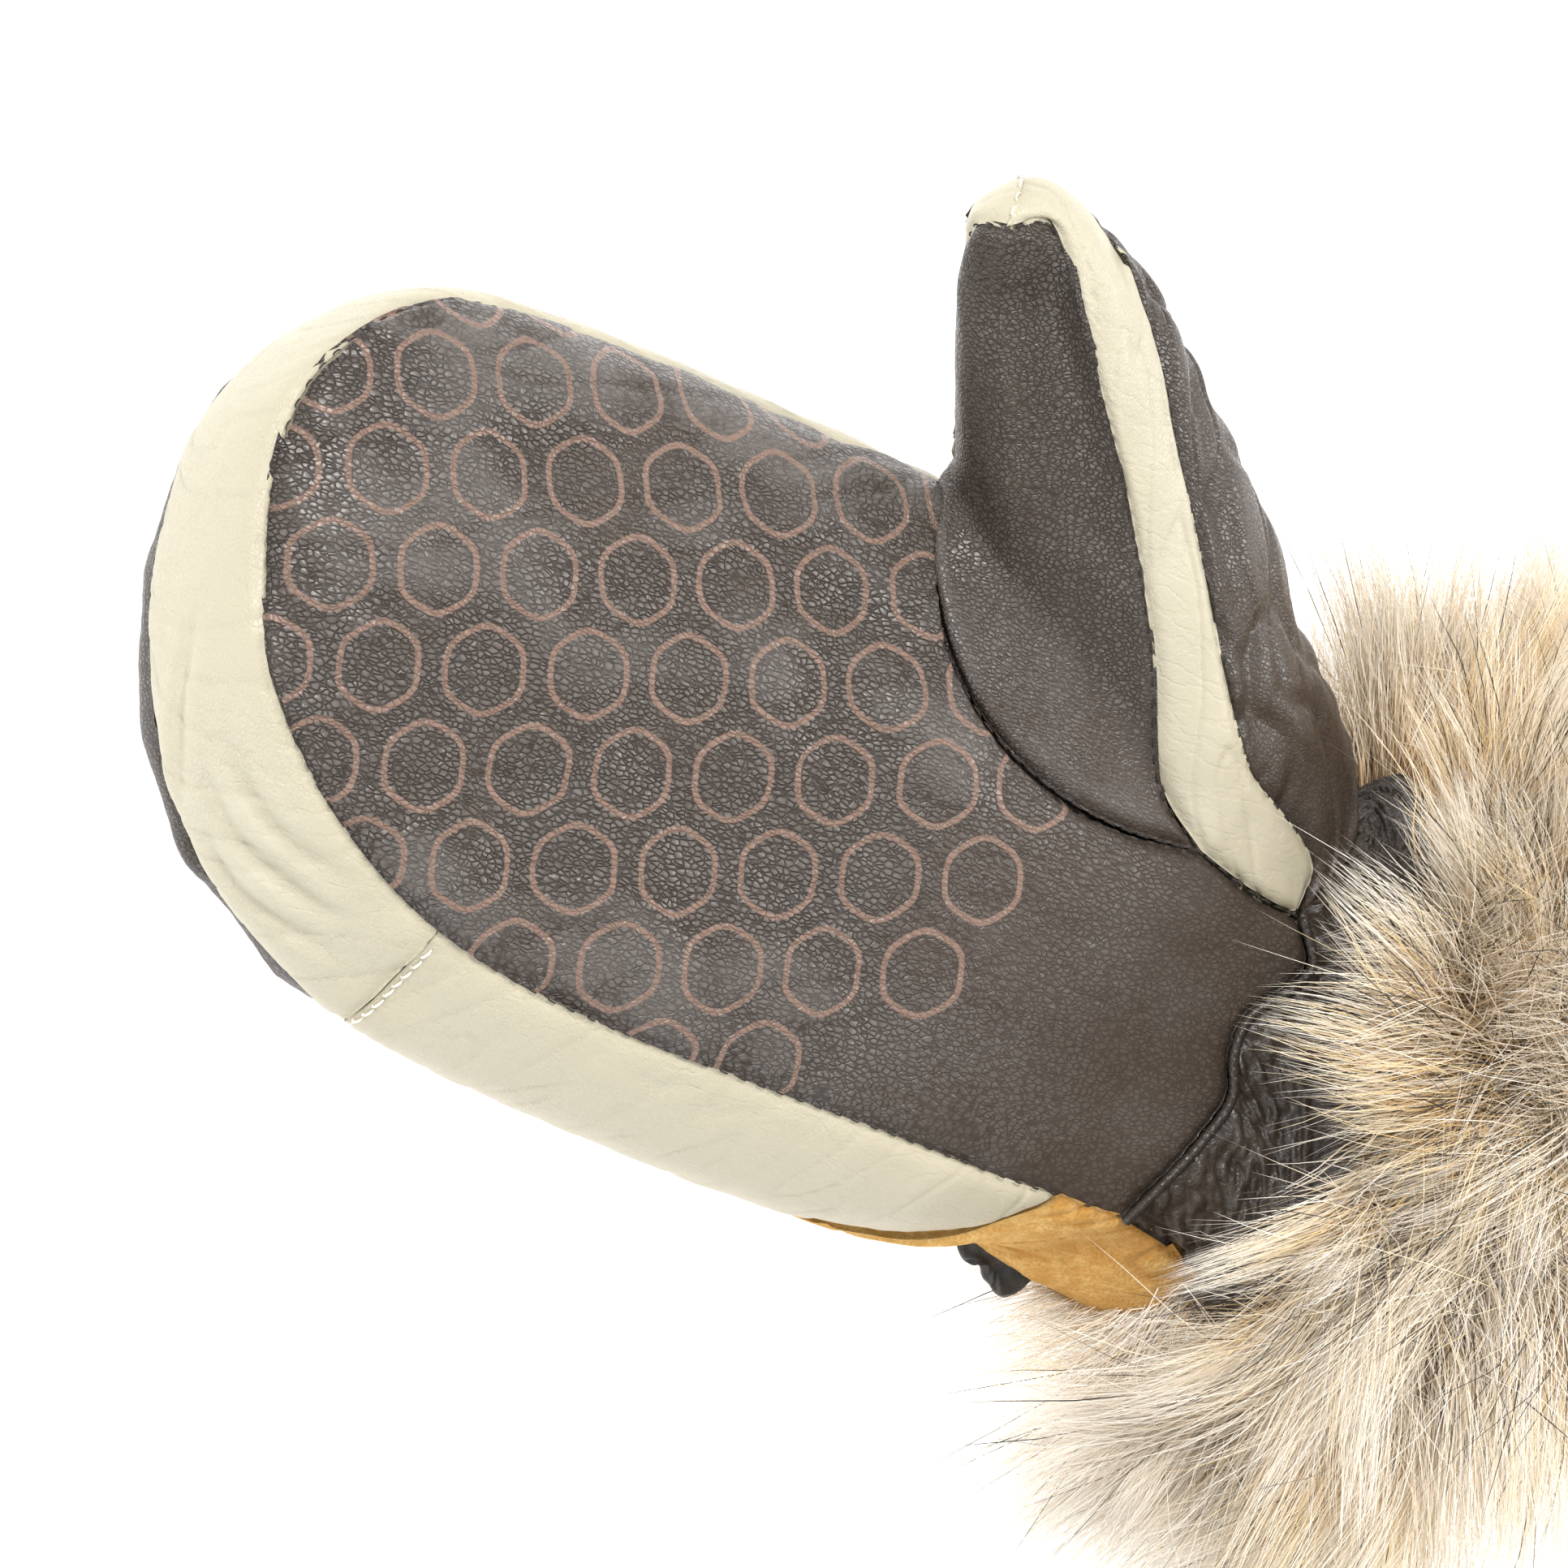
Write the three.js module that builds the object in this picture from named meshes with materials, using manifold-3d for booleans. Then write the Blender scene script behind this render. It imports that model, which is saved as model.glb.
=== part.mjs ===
// A padded right-hand leather mitten with a deep fur cuff, lying on its back with the palm up.
// Millimetres. +Y points to the fingertips, +X to the thumb side, +Z out of the palm.
// The origin is on the flat of the back, under the middle of the palm.
import * as THREE from 'three';
import { mergeVertices } from 'three/addons/utils/BufferGeometryUtils.js';
import Module from 'manifold-3d';

const wasm = await Module();
wasm.setup();

// Sizes that drive the whole mitten
const WALL = 3;              // padded leather, outer face to lining
const SEAM_INSET = 0.3;      // each panel stops this far short of its seam line
const SEGMENTS_PER_ROW = 2;  // facets between two rows of a seam table
const HEEL_SEGMENTS = 2;
const THUMB_STRIP_END_SEGMENTS = 2;
const THUMB_HEEL_SEGMENTS = 6;
const THUMB_BASE_SEGMENTS = 8;
const THUMB_LENGTH_SEGMENTS = 8;
const THUMB_TIP_SEGMENTS = 3;
const THUMB_CREST_SEGMENTS = 40;
const STRIP_SEGMENTS = 4;
const GATHER_SEGMENTS = 4;
const SUEDE_FRONT_SEGMENTS = 8;
const SUEDE_BACK_SEGMENTS = 2;
const PIPING_SEGMENTS = 26;
const BAND_SEGMENTS = 4;
const CROTCH_INSET = 0.7;    // added where the thumb's front meets the deep crease of the crotch
const CROTCH_INSET_SHARE = 0.4;
const PIPING_RADIUS = 0.9;
const PIPING_GAP = 0.5;
const PLEAT_HEIGHT = 1.4;
const CUFF = {
  front: -128, back: -172, centreX: -3, centreZ: 31,
  halfWidth: 50, halfHeight: 25, flare: 1.1, segments: 32, gap: 0.4,
};
// Where the suede gives way to the gathered leather, in degrees round the wrist from the
// little-finger side, positive towards the resting face
const SUEDE_FROM = 25;
const SUEDE_TO = 134;

// The strip round the hand, from its point at the wrist along the little-finger side, over the
// fingertips and down the index side to the crotch of the thumb. Each row gives the seam to the
// palm, the middle of the strip and the seam to the back.
const RIM = [
  { palm: [-44, -86.5, 36], side: [-44, -86.5, 36], back: [-44, -86.5, 36] },
  { palm: [-44.5, -74, 37], side: [-50, -75, 31], back: [-54, -76, 20] },
  { palm: [-44.5, -62, 37.5], side: [-54.5, -62, 28], back: [-58, -62, 14] },
  { palm: [-44.6, -46, 38], side: [-57.5, -46, 25], back: [-59, -46, 10] },
  { palm: [-44.8, -24, 38], side: [-59, -24, 23], back: [-58, -24, 8] },
  { palm: [-44.8, 0, 38], side: [-58.6, 0, 23], back: [-57, 0, 8] },
  { palm: [-43.6, 20, 38], side: [-57.6, 22, 23], back: [-55, 22, 8] },
  { palm: [-40, 38, 38], side: [-54.5, 40.5, 23], back: [-51.8, 40.5, 8.5] },
  { palm: [-34, 53, 39], side: [-49, 56.5, 24], back: [-45.5, 56.5, 10] },
  { palm: [-24, 69, 41], side: [-39, 73, 26], back: [-36.5, 73, 12] },
  { palm: [-11, 81, 42], side: [-24.3, 86.3, 29], back: [-23.5, 85.5, 15] },
  { palm: [5, 88, 42.5], side: [-5, 95.3, 30], back: [-6, 94, 17] },
  { palm: [20, 91.8, 43], side: [14, 98.7, 31], back: [13, 97.5, 18] },
  { palm: [33.5, 91, 43.5], side: [30, 97.2, 31], back: [29.5, 95.8, 18] },
  { palm: [45, 84.5, 42], side: [44, 89.3, 31], back: [43.5, 88.3, 18] },
  { palm: [54, 75, 38], side: [55.3, 77.3, 29], back: [54.3, 76.8, 17] },
  { palm: [59.3, 64, 33], side: [61.3, 64.5, 26], back: [59.8, 64.5, 14] },
  { palm: [62, 45, 29], side: [64.8, 45, 22], back: [62.7, 45, 11] },
  { palm: [63.2, 9, 27], side: [66.4, 8, 20], back: [63.7, 8, 9] },
  { palm: [62.5, -29.5, 31], side: [65.5, -31.5, 22], back: [64, -33, 12] },
];
const RIM_ROW = { suedeMeetsBack: 4, crossSeam: 7, palmTip: [10, 15], backTip: [9, 14] };

// The palm's edges that the strip does not follow
const PALM_HEEL = [[-43.5, -99, 36], [-43.9, -93, 36], [-44, -86.5, 36]];
const PALM_WRIST = [
  [-43.5, -99, 36], [-36, -101.8, 39.5], [-27, -105.5, 42], [-18.4, -107.5, 44], [-11.8, -104.9, 45],
  [-5.3, -105, 46], [1.5, -110.5, 47], [7, -113.4, 47], [14, -109, 47],
];
const PALM_TO_THUMB_STRIP = [[14, -109, 47], [14.5, -97, 49], [17.3, -85, 50]];
const PALM_TO_THUMB = [
  [17.3, -85, 50], [16, -70, 49.5], [17.5, -56, 49], [22.5, -43, 47.5], [30, -33.5, 46],
  [39, -27.8, 43.5], [47, -26.3, 40], [55, -27.3, 35.5], [62.5, -29.5, 31],
];
// Heights of the middle of each panel at even steps from the wrist to the fingertips. The back is
// cut off flat at the resting face.
const PALM_HEIGHTS = [45.5, 46.5, 47.5, 47.5, 47, 46.5, 46, 46, 43.5];
const BACK_HEIGHTS = [-2, -12, -20, -22, -18, -9, 4, 16];
const SWELL = { littleFinger: 2.2, index: 6, back: 5 }; // how squarely the panels turn down

// The thumb: sections along its axis, with the angles at which its seams run, in degrees round
// the section from its outer side over its front
const THUMB = [
  { axis: [38, -76, 32], wide: 27, deep: 23, front: 90, outer: 54, inner: 188, back: 222 },
  { axis: [55, -59, 41], wide: 26, deep: 21, front: 83, outer: 54, inner: 187, back: 222 },
  { axis: [71, -42, 50], wide: 21, deep: 18, front: 77, outer: 43, inner: 186, back: 220 },
  { axis: [85, -27, 59], wide: 17.2, deep: 15.5, front: 77, outer: 27, inner: 184, back: 220 },
  { axis: [95, -16.5, 65.5], wide: 13.5, deep: 12.5, front: 77, outer: 12, inner: 184, back: 222 },
];
const THUMB_OUTWARD = [0.4245, -0.7306, 0.5378];
const THUMB_FORWARD = [-0.584, 0.092, 0.805];
const THUMB_TIP = {
  front: [94.2, -2, 77.5], middle: [103.5, -3.5, 74], back: [105, -6, 66],
  frontOuter: [97.5, -9, 77.5], frontInner: [90, -1.5, 70],
  backOuter: [106.3, -13, 70], backInner: [99.8, -2.5, 61],
  outerCrest: [103.6, -10, 76.3], innerCrest: [97.8, 0, 68],
};
const THUMB_FRONT_ROOT = [26, -40, 48];
const THUMB_STRIP_CREST = [20, -97, 50.5];
const THUMB_STRIP_HEEL = [23, -109.5, 47];
const THUMB_HEEL = [
  [14, -109, 47], [26, -116.5, 45], [37, -121, 37], [41, -121, 25], [38, -116, 13], [34, -112, 6],
];
const THUMB_BASE = [[34, -112, 6], [42, -99, 4], [50, -82, 3.5], [57, -63, 4], [62, -46, 7], [64, -33, 12]];
const THUMB_BACK_CREST = [[42, -99, 4], [60, -84, 22], [76, -67, 37]];
const BACK_TO_SUEDE = [
  [-58, -24, 8], [-48, -26, 1], [-30, -27, 0], [0, -28, 0], [30, -29, 0], [52, -31, 1], [64, -33, 12],
];
const SUEDE_TO_GATHER = [-44.5, -114, 29];

// The suede stands out at the little-finger side, more towards the cuff
const SUEDE_BULGE = { height: 11.5, middle: 0.19, width: 0.18, towardCuff: 2.6, fade: 0.08 };
const GATHER_HOLLOW = 3.5;

// A moulded tab with round ends, lying beside the suede and facing up and out
const TAB = {
  at: [-55, -92, 8], along: [-0.2079, -0.9781, 0], facing: [-0.4891, 0.104, 0.866],
  length: 15, height: 9, thickness: 2.6, corner: 3.6,
};

// The middle of the hand, which the inside of every wall faces: a sheet of points per row
const CORE_ROWS = [
  { y: -112, low: -24, high: 16, z: 27 },
  { y: -90, low: -27, high: 22, z: 23 },
  { y: -60, low: -34, high: 30, z: 22 },
  { y: -30, low: -37, high: 40, z: 21 },
  { y: 0, low: -37, high: 43, z: 21 },
  { y: 30, low: -34, high: 43, z: 22 },
  { y: 55, low: -22, high: 40, z: 26 },
  { y: 74, low: 0, high: 36, z: 30 },
];
const CORE_ACROSS = 5;
const CORE_SHARPNESS = 6;
const CORE_THUMB = 9;
const CORE_CUFF = { low: -20, high: 14, z: 30, step: 12 };

// Deep folds, pressed in along a line: middle, direction, half length, half width and depth
const FOLDS = [
  { at: [-44, 62, 34], along: [0.5, 0.8, 0.2], length: 22, width: 5, depth: 1.6 },
  { at: [-52, 34, 30], along: [0.2, 0.9, 0.1], length: 20, width: 5, depth: 1.3 },
  { at: [-22, 30, 45], along: [0.8, 0.5, 0], length: 20, width: 7, depth: 1.6 },
  { at: [-26, -40, 46], along: [0.75, 0.6, 0], length: 18, width: 7, depth: 1.3 },
  { at: [33, -15, 45], along: [0.9, 0.35, 0], length: 22, width: 7, depth: 1.4 },
  { at: [64, -90, 40], along: [0.5, -0.6, -0.6], length: 26, width: 6, depth: 2.4 },
  { at: [78, -70, 45], along: [0.6, -0.5, -0.6], length: 24, width: 6, depth: 2.2 },
  { at: [90, -52, 52], along: [0.6, -0.4, -0.65], length: 20, width: 5, depth: 1.8 },
  { at: [-50, -104, 18], along: [0.2, -0.5, -0.8], length: 16, width: 5, depth: 2.2 },
];

// Locks of fur: rings round the cuff, with where each ring roots, how far it leans along the
// arm (positive to the fingertips) and how long its locks are
const LOCK_RINGS = [
  { y: -133, lean: 0.6, length: 42, locks: 16, turn: 0.0 },
  { y: -148, lean: 0.1, length: 44, locks: 15, turn: 0.5 },
  { y: -163, lean: -0.45, length: 38, locks: 13, turn: 0.0 },
];
const LOCK = {
  sides: 5, radii: [12, 16, 11.5, 3], // from the root to the tip
  rootDepth: 1.5, flatness: 0.9, droop: 0.22, leanCurve: 1.4,
  shortest: 0.85, longest: 1.15, leanSpread: 0.35, swirl: 0.5, leastThickness: 0.35,
};
const FLOOR_CLEARANCE = 0.05;

// What the locks stay out of: the way through the band, and the room of the wrist in front of it
const WRIST_ROOM = { gather: 2.2, suede: 13, suedeMargin: 15, reach: 60, gap: 0.3 };

const COLOURS = {
  dark_leather: 0x514842, cream_leather: 0xebe2c3, suede: 0xe1af5a, gather: 0x3c3632,
  moulding: 0x2b2b2b, fur: 0xd9c9ac,
};

const vec = (values) => new THREE.Vector3(...values);
const toRadians = THREE.MathUtils.degToRad;

// Points along a smooth curve through the rows of a table, at even steps of the row number
function through(rows, segments) {
  const curve = new THREE.CatmullRomCurve3(rows.map(vec), false, 'catmullrom', 0.5);
  return curve.getPoints(segments);
}

// Points along a smooth curve, at even steps of its length
function evenly(rows, segments) {
  return new THREE.CatmullRomCurve3(rows.map(vec), false, 'centripetal').getSpacedPoints(segments);
}

function join(...lines) {
  return lines.reduce((all, line) => all.concat(all.length ? line.slice(1) : line), []);
}

function backwards(line) {
  return [...line].reverse();
}

function halved(line) {
  const points = [line[0]];
  for (let i = 1; i < line.length; i++) {
    points.push(line[i - 1].clone().lerp(line[i], 0.5), line[i]);
  }
  return points;
}

function pointAt(line, share) {
  const place = share * (line.length - 1);
  const index = Math.min(Math.floor(place), line.length - 2);
  return line[index].clone().lerp(line[index + 1], place - index);
}

function valueAt(values, share) {
  const place = share * (values.length - 1);
  const index = Math.min(Math.floor(place), values.length - 2);
  return THREE.MathUtils.lerp(values[index], values[index + 1], place - index);
}

// The curves of the strip round the hand
const rimSegments = (RIM.length - 1) * SEGMENTS_PER_ROW;
const rim = {
  palm: through(RIM.map((row) => row.palm), rimSegments),
  side: through(RIM.map((row) => row.side), rimSegments),
  back: through(RIM.map((row) => row.back), rimSegments),
};
function rimPart(rail, fromRow, toRow) {
  return rim[rail].slice(fromRow * SEGMENTS_PER_ROW, toRow * SEGMENTS_PER_ROW + 1);
}

const lastRow = RIM.length - 1;
const tipSegments = (RIM_ROW.palmTip[1] - RIM_ROW.palmTip[0]) * SEGMENTS_PER_ROW;
const thumbSeamSegments = RIM_ROW.palmTip[0] * SEGMENTS_PER_ROW + HEEL_SEGMENTS
  - (lastRow - RIM_ROW.palmTip[1]) * SEGMENTS_PER_ROW - THUMB_STRIP_END_SEGMENTS;
const seams = {
  heel: evenly(PALM_HEEL, HEEL_SEGMENTS),
  wrist: evenly(PALM_WRIST, tipSegments),
  palmToThumbStrip: evenly(PALM_TO_THUMB_STRIP, THUMB_STRIP_END_SEGMENTS),
  palmToThumb: evenly(PALM_TO_THUMB, thumbSeamSegments),
  backToSuede: evenly(BACK_TO_SUEDE, tipSegments),
  thumbHeel: evenly(THUMB_HEEL, THUMB_HEEL_SEGMENTS),
  thumbBase: evenly(THUMB_BASE, THUMB_BASE_SEGMENTS),
};

// A point on a section of the thumb, at an angle round it
function thumbPoint(section, degrees) {
  const angle = toRadians(degrees);
  return vec(section.axis)
    .addScaledVector(vec(THUMB_OUTWARD), section.wide * Math.cos(angle))
    .addScaledVector(vec(THUMB_FORWARD), section.deep * Math.sin(angle))
    .toArray();
}

const crotch = RIM[lastRow];
const firstFree = 2; // the first thumb section whose inner side is clear of the hand
const thumbSeams = {
  front: evenly(
    [PALM_TO_THUMB[0], ...THUMB.map((row) => thumbPoint(row, row.front))],
    THUMB_LENGTH_SEGMENTS,
  ),
  outerFromHeel: evenly(
    [PALM_TO_THUMB_STRIP[0], THUMB_STRIP_HEEL, ...THUMB.map((row) => thumbPoint(row, row.outer))],
    THUMB_LENGTH_SEGMENTS + THUMB_STRIP_END_SEGMENTS,
  ),
  inner: evenly(
    [crotch.palm, ...THUMB.slice(firstFree + 1).map((row) => thumbPoint(row, row.inner))],
    THUMB_LENGTH_SEGMENTS,
  ),
  back: evenly(
    [crotch.back, ...THUMB.slice(firstFree).map((row) => thumbPoint(row, row.back))],
    THUMB_LENGTH_SEGMENTS,
  ),
};
const thumbTop = THUMB[THUMB.length - 1];
const thumbDirection = vec(thumbTop.axis).sub(vec(THUMB[0].axis)).normalize();
function tipArc(angle, middle, end) {
  return evenly([thumbPoint(thumbTop, angle), middle, end], THUMB_TIP_SEGMENTS);
}
const thumbTip = {
  frontOuter: tipArc(thumbTop.front, THUMB_TIP.frontOuter, THUMB_TIP.front),
  frontInner: tipArc(thumbTop.inner, THUMB_TIP.frontInner, THUMB_TIP.front),
  backOuter: tipArc(thumbTop.outer, THUMB_TIP.backOuter, THUMB_TIP.back),
  backInner: tipArc(thumbTop.back, THUMB_TIP.backInner, THUMB_TIP.back),
};

function cuffPoint(y, degrees, grow) {
  const angle = toRadians(degrees);
  const share = (y - CUFF.front) / (CUFF.back - CUFF.front);
  const scale = 1 + (CUFF.flare - 1) * share;
  return new THREE.Vector3(
    CUFF.centreX - (CUFF.halfWidth * scale + grow) * Math.cos(angle),
    y,
    CUFF.centreZ - (CUFF.halfHeight * scale + grow) * Math.sin(angle),
  );
}

function cuffArc(fromDegrees, toDegrees, segments) {
  const points = [];
  for (let i = 0; i <= segments; i++) {
    points.push(cuffPoint(CUFF.front, fromDegrees + (toDegrees - fromDegrees) * i / segments, 0));
  }
  return points;
}

// The core that every wall faces
const core = [];
for (let i = 0; i < CORE_ROWS.length - 1; i++) {
  for (const share of [0, 0.5]) {
    const mix = (name) => THREE.MathUtils.lerp(CORE_ROWS[i][name], CORE_ROWS[i + 1][name], share);
    for (let j = 0; j < CORE_ACROSS; j++) {
      const x = THREE.MathUtils.lerp(mix('low'), mix('high'), j / (CORE_ACROSS - 1));
      core.push(new THREE.Vector3(x, mix('y'), mix('z')));
    }
  }
}
core.push(...evenly([THUMB[0].axis, THUMB[2].axis, THUMB[4].axis], CORE_THUMB));
for (let y = CUFF.front; y > CUFF.back; y -= CORE_CUFF.step) {
  for (const x of [CORE_CUFF.low, CUFF.centreX, CORE_CUFF.high]) {
    core.push(new THREE.Vector3(x, y, CORE_CUFF.z));
  }
}

// The direction from a point on the outside to the core, smooth everywhere, so that panels that
// share a seam share the wall under it
function inward(point) {
  const target = new THREE.Vector3();
  let total = 0;
  for (const centre of core) {
    const weight = Math.pow(point.distanceToSquared(centre), -CORE_SHARPNESS / 2);
    target.addScaledVector(centre, weight);
    total += weight;
  }
  return target.divideScalar(total).sub(point).normalize();
}

function foldDepth(point) {
  let depth = 0;
  for (const fold of FOLDS) {
    const along = vec(fold.along).normalize();
    const offset = point.clone().sub(vec(fold.at));
    const run = offset.dot(along);
    const aside = offset.addScaledVector(along, -run).length();
    depth += fold.depth * Math.exp(-((run / fold.length) ** 2) - ((aside / fold.width) ** 2));
  }
  return depth;
}

// A four-sided panel: its edges, the line or the heights that its middle passes through, and how
// it swells between them. low and high run along it, start and end run across it. It swells
// towards the line only at right angles to the direction called crossing.
function panelPoints(panel) {
  const { low, high, start, end, crest, crossing, heights, swell = roundSwell, relief, floor } = panel;
  const lengthwise = low.length - 1;
  const across = start.length - 1;
  const corner = (u, v) => low[0].clone().multiplyScalar((1 - u) * (1 - v))
    .addScaledVector(low[lengthwise], u * (1 - v))
    .addScaledVector(high[0], (1 - u) * v)
    .addScaledVector(high[lengthwise], u * v);
  const flat = (i, v) => {
    const u = i / lengthwise;
    return low[i].clone().multiplyScalar(1 - v)
      .addScaledVector(high[i], v)
      .addScaledVector(pointAt(start, v), 1 - u)
      .addScaledVector(pointAt(end, v), u)
      .sub(corner(u, v));
  };
  const grid = [];
  for (let i = 0; i <= lengthwise; i++) {
    const u = i / lengthwise;
    const ends = Math.min(1, Math.min(u, 1 - u) * lengthwise);
    const lift = new THREE.Vector3();
    if (crest) {
      lift.copy(pointAt(crest, u)).sub(flat(i, 0.5)).multiplyScalar(ends);
      lift.addScaledVector(crossing, -lift.dot(crossing));
    } else if (heights) {
      lift.z = (valueAt(heights, u) - flat(i, 0.5).z) * ends;
    }
    const row = [];
    for (let j = 0; j <= across; j++) {
      const v = j / across;
      const point = flat(i, v);
      point.addScaledVector(lift, swell(v));
      point.addScaledVector(inward(point), foldDepth(point));
      if (relief) {
        point.addScaledVector(inward(point), -relief(u, v, i, j));
      }
      if (floor) {
        point.z = Math.max(point.z, 0);
      }
      row.push(point);
    }
    grid.push(row);
  }
  return grid;
}

function roundSwell(v) {
  return 4 * v * (1 - v);
}

// The palm rises gently from the little finger and turns over steeply at the index side
function palmSwell(v) {
  const side = 2 * v - 1;
  return side < 0 ? 1 - Math.abs(side) ** SWELL.littleFinger : Math.sqrt(1 - side ** SWELL.index);
}

function backSwell(v) {
  return 1 - Math.abs(2 * v - 1) ** SWELL.back;
}

// Draws the edges of a panel in from its seams, by no more than a part of its first facet
const MOST_INSET = 0.4;
function insetEdges(grid, startInset) {
  const pull = (edge, next, inset = () => SEAM_INSET) => edge.map((point, k) => {
    const step = next[k].clone().sub(point);
    const share = Math.min(MOST_INSET, inset(k / edge.length) / step.length());
    return point.clone().addScaledVector(step, share);
  });
  const rows = [...grid];
  const last = rows.length - 1;
  rows[0] = pull(rows[0], rows[1], startInset);
  rows[last] = pull(rows[last], rows[last - 1]);
  return rows.map((row) => {
    const end = row.length - 1;
    const points = [...row];
    points[0] = pull([row[0]], [row[1]])[0];
    points[end] = pull([row[end]], [row[end - 1]])[0];
    return points;
  });
}

function materialOf(colour, roughness) {
  return new THREE.MeshStandardMaterial({ color: colour, roughness, metalness: 0 });
}

function meshOf(name, positions, triangles, colour, roughness) {
  const geometry = new THREE.BufferGeometry();
  geometry.setAttribute('position', new THREE.Float32BufferAttribute(positions, 3));
  geometry.setIndex(triangles);
  geometry.computeVertexNormals();
  const mesh = new THREE.Mesh(geometry, materialOf(colour, roughness));
  mesh.name = name;
  return mesh;
}

// A closed wall between the grid and the same grid moved in by the wall's thickness
function wallMesh(name, grid, colour, { roughness = 0.6, startInset = () => SEAM_INSET } = {}) {
  const rows = insetEdges(grid, startInset);
  const across = rows[0].length;
  const outer = rows.flat();
  const inner = outer.map((point) => point.clone().addScaledVector(inward(point), WALL));
  const positions = [...outer, ...inner].flatMap((point) => point.toArray());
  const count = outer.length;
  const triangles = [];
  const quad = (a, b, c, d) => triangles.push(a, b, c, a, c, d);
  const index = (i, j) => i * across + j;
  for (let i = 0; i < rows.length - 1; i++) {
    for (let j = 0; j < across - 1; j++) {
      const [a, b, c, d] = [index(i, j), index(i + 1, j), index(i + 1, j + 1), index(i, j + 1)];
      quad(a, b, c, d);
      quad(count + a, count + d, count + c, count + b);
    }
  }
  const edgeWall = (line) => line.slice(1).forEach((to, k) => {
    quad(line[k], to, count + to, count + line[k]);
  });
  const lastI = rows.length - 1;
  const lastJ = across - 1;
  edgeWall([...Array(across).keys()].map((j) => index(0, j)));
  edgeWall([...Array(rows.length).keys()].map((i) => index(i, lastJ)));
  edgeWall([...Array(across).keys()].reverse().map((j) => index(lastI, j)));
  edgeWall([...Array(rows.length).keys()].reverse().map((i) => index(i, 0)));
  const mesh = meshOf(name, positions, triangles, colour, roughness);
  return facingOut(mesh);
}

// Turns a closed mesh whose faces point in
function facingOut(mesh) {
  const position = mesh.geometry.attributes.position;
  const index = mesh.geometry.index.array;
  const [a, b, c] = [new THREE.Vector3(), new THREE.Vector3(), new THREE.Vector3()];
  let volume = 0;
  for (let k = 0; k < index.length; k += 3) {
    a.fromBufferAttribute(position, index[k]);
    b.fromBufferAttribute(position, index[k + 1]);
    c.fromBufferAttribute(position, index[k + 2]);
    volume += a.dot(b.cross(c));
  }
  if (volume < 0) {
    for (let k = 0; k < index.length; k += 3) {
      [index[k + 1], index[k + 2]] = [index[k + 2], index[k + 1]];
    }
    mesh.geometry.computeVertexNormals();
  }
  return mesh;
}

function palmPanel() {
  return wallMesh('palm_panel', panelPoints({
    low: join(seams.heel, rimPart('palm', 0, RIM_ROW.palmTip[0])),
    high: join(
      seams.palmToThumbStrip,
      seams.palmToThumb,
      backwards(rimPart('palm', RIM_ROW.palmTip[1], lastRow)),
    ),
    start: seams.wrist,
    end: rimPart('palm', ...RIM_ROW.palmTip),
    heights: PALM_HEIGHTS,
    swell: palmSwell,
  }), COLOURS.dark_leather);
}

function backPanel() {
  const [tipFrom, tipTo] = RIM_ROW.backTip;
  return wallMesh('back_panel', panelPoints({
    low: rimPart('back', RIM_ROW.suedeMeetsBack, tipFrom),
    high: backwards(rimPart('back', tipTo, lastRow)),
    start: seams.backToSuede,
    end: rimPart('back', tipFrom, tipTo),
    heights: BACK_HEIGHTS,
    swell: backSwell,
    floor: true,
  }), COLOURS.dark_leather);
}

// A length of strip between two rails, crowned to a third line between them
function stripPoints(palmSide, middle, backSide) {
  return palmSide.map((from, place) => {
    const to = backSide[place];
    const lift = middle[place].clone().sub(from.clone().lerp(to, 0.5));
    return Array.from({ length: STRIP_SEGMENTS + 1 }, (_, j) => {
      const v = j / STRIP_SEGMENTS;
      return from.clone().lerp(to, v).addScaledVector(lift, roundSwell(v));
    });
  });
}

// A line without the first part of its first facet
function trimmed(line, share) {
  return [pointAt(line, share / (line.length - 1)), ...line.slice(1)];
}

// A grid with the deep folds pressed into it
function folded(grid) {
  return grid.map((row) => row.map((point) => {
    return point.clone().addScaledVector(inward(point), foldDepth(point));
  }));
}

const STRIP_POINT_TRIM = { edge: 0.2, thumbOuter: 0.15, thumbInner: 0.12 };

function sideStrips() {
  const { crossSeam } = RIM_ROW;
  const rails = (from, to) => ['palm', 'side', 'back'].map((rail) => rimPart(rail, from, to));
  const edge = rails(0, crossSeam).map((line) => trimmed(line, STRIP_POINT_TRIM.edge));
  return [
    wallMesh('side_strip_edge', folded(stripPoints(...edge)), COLOURS.cream_leather),
    wallMesh('side_strip_tip', folded(stripPoints(...rails(crossSeam, lastRow))), COLOURS.cream_leather),
  ];
}

function thumbFront() {
  const middle = THUMB.slice(1).map((row) => thumbPoint(row, (row.front + row.inner) / 2));
  return wallMesh('thumb_front', panelPoints({
    low: thumbSeams.inner,
    high: thumbSeams.front,
    start: backwards(seams.palmToThumb),
    end: widen(join(thumbTip.frontInner, backwards(thumbTip.frontOuter)), thumbSeamSegments),
    crest: evenly([THUMB_FRONT_ROOT, ...middle, THUMB_TIP.front], THUMB_CREST_SEGMENTS),
    crossing: thumbDirection,
  }), COLOURS.dark_leather, {
    startInset: (v) => SEAM_INSET + CROTCH_INSET * Math.max(0, 1 - v / CROTCH_INSET_SHARE),
  });
}

// The same line in another number of steps, keeping its points on it
function widen(line, segments) {
  return Array.from({ length: segments + 1 }, (_, k) => pointAt(line, k / segments));
}

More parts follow.
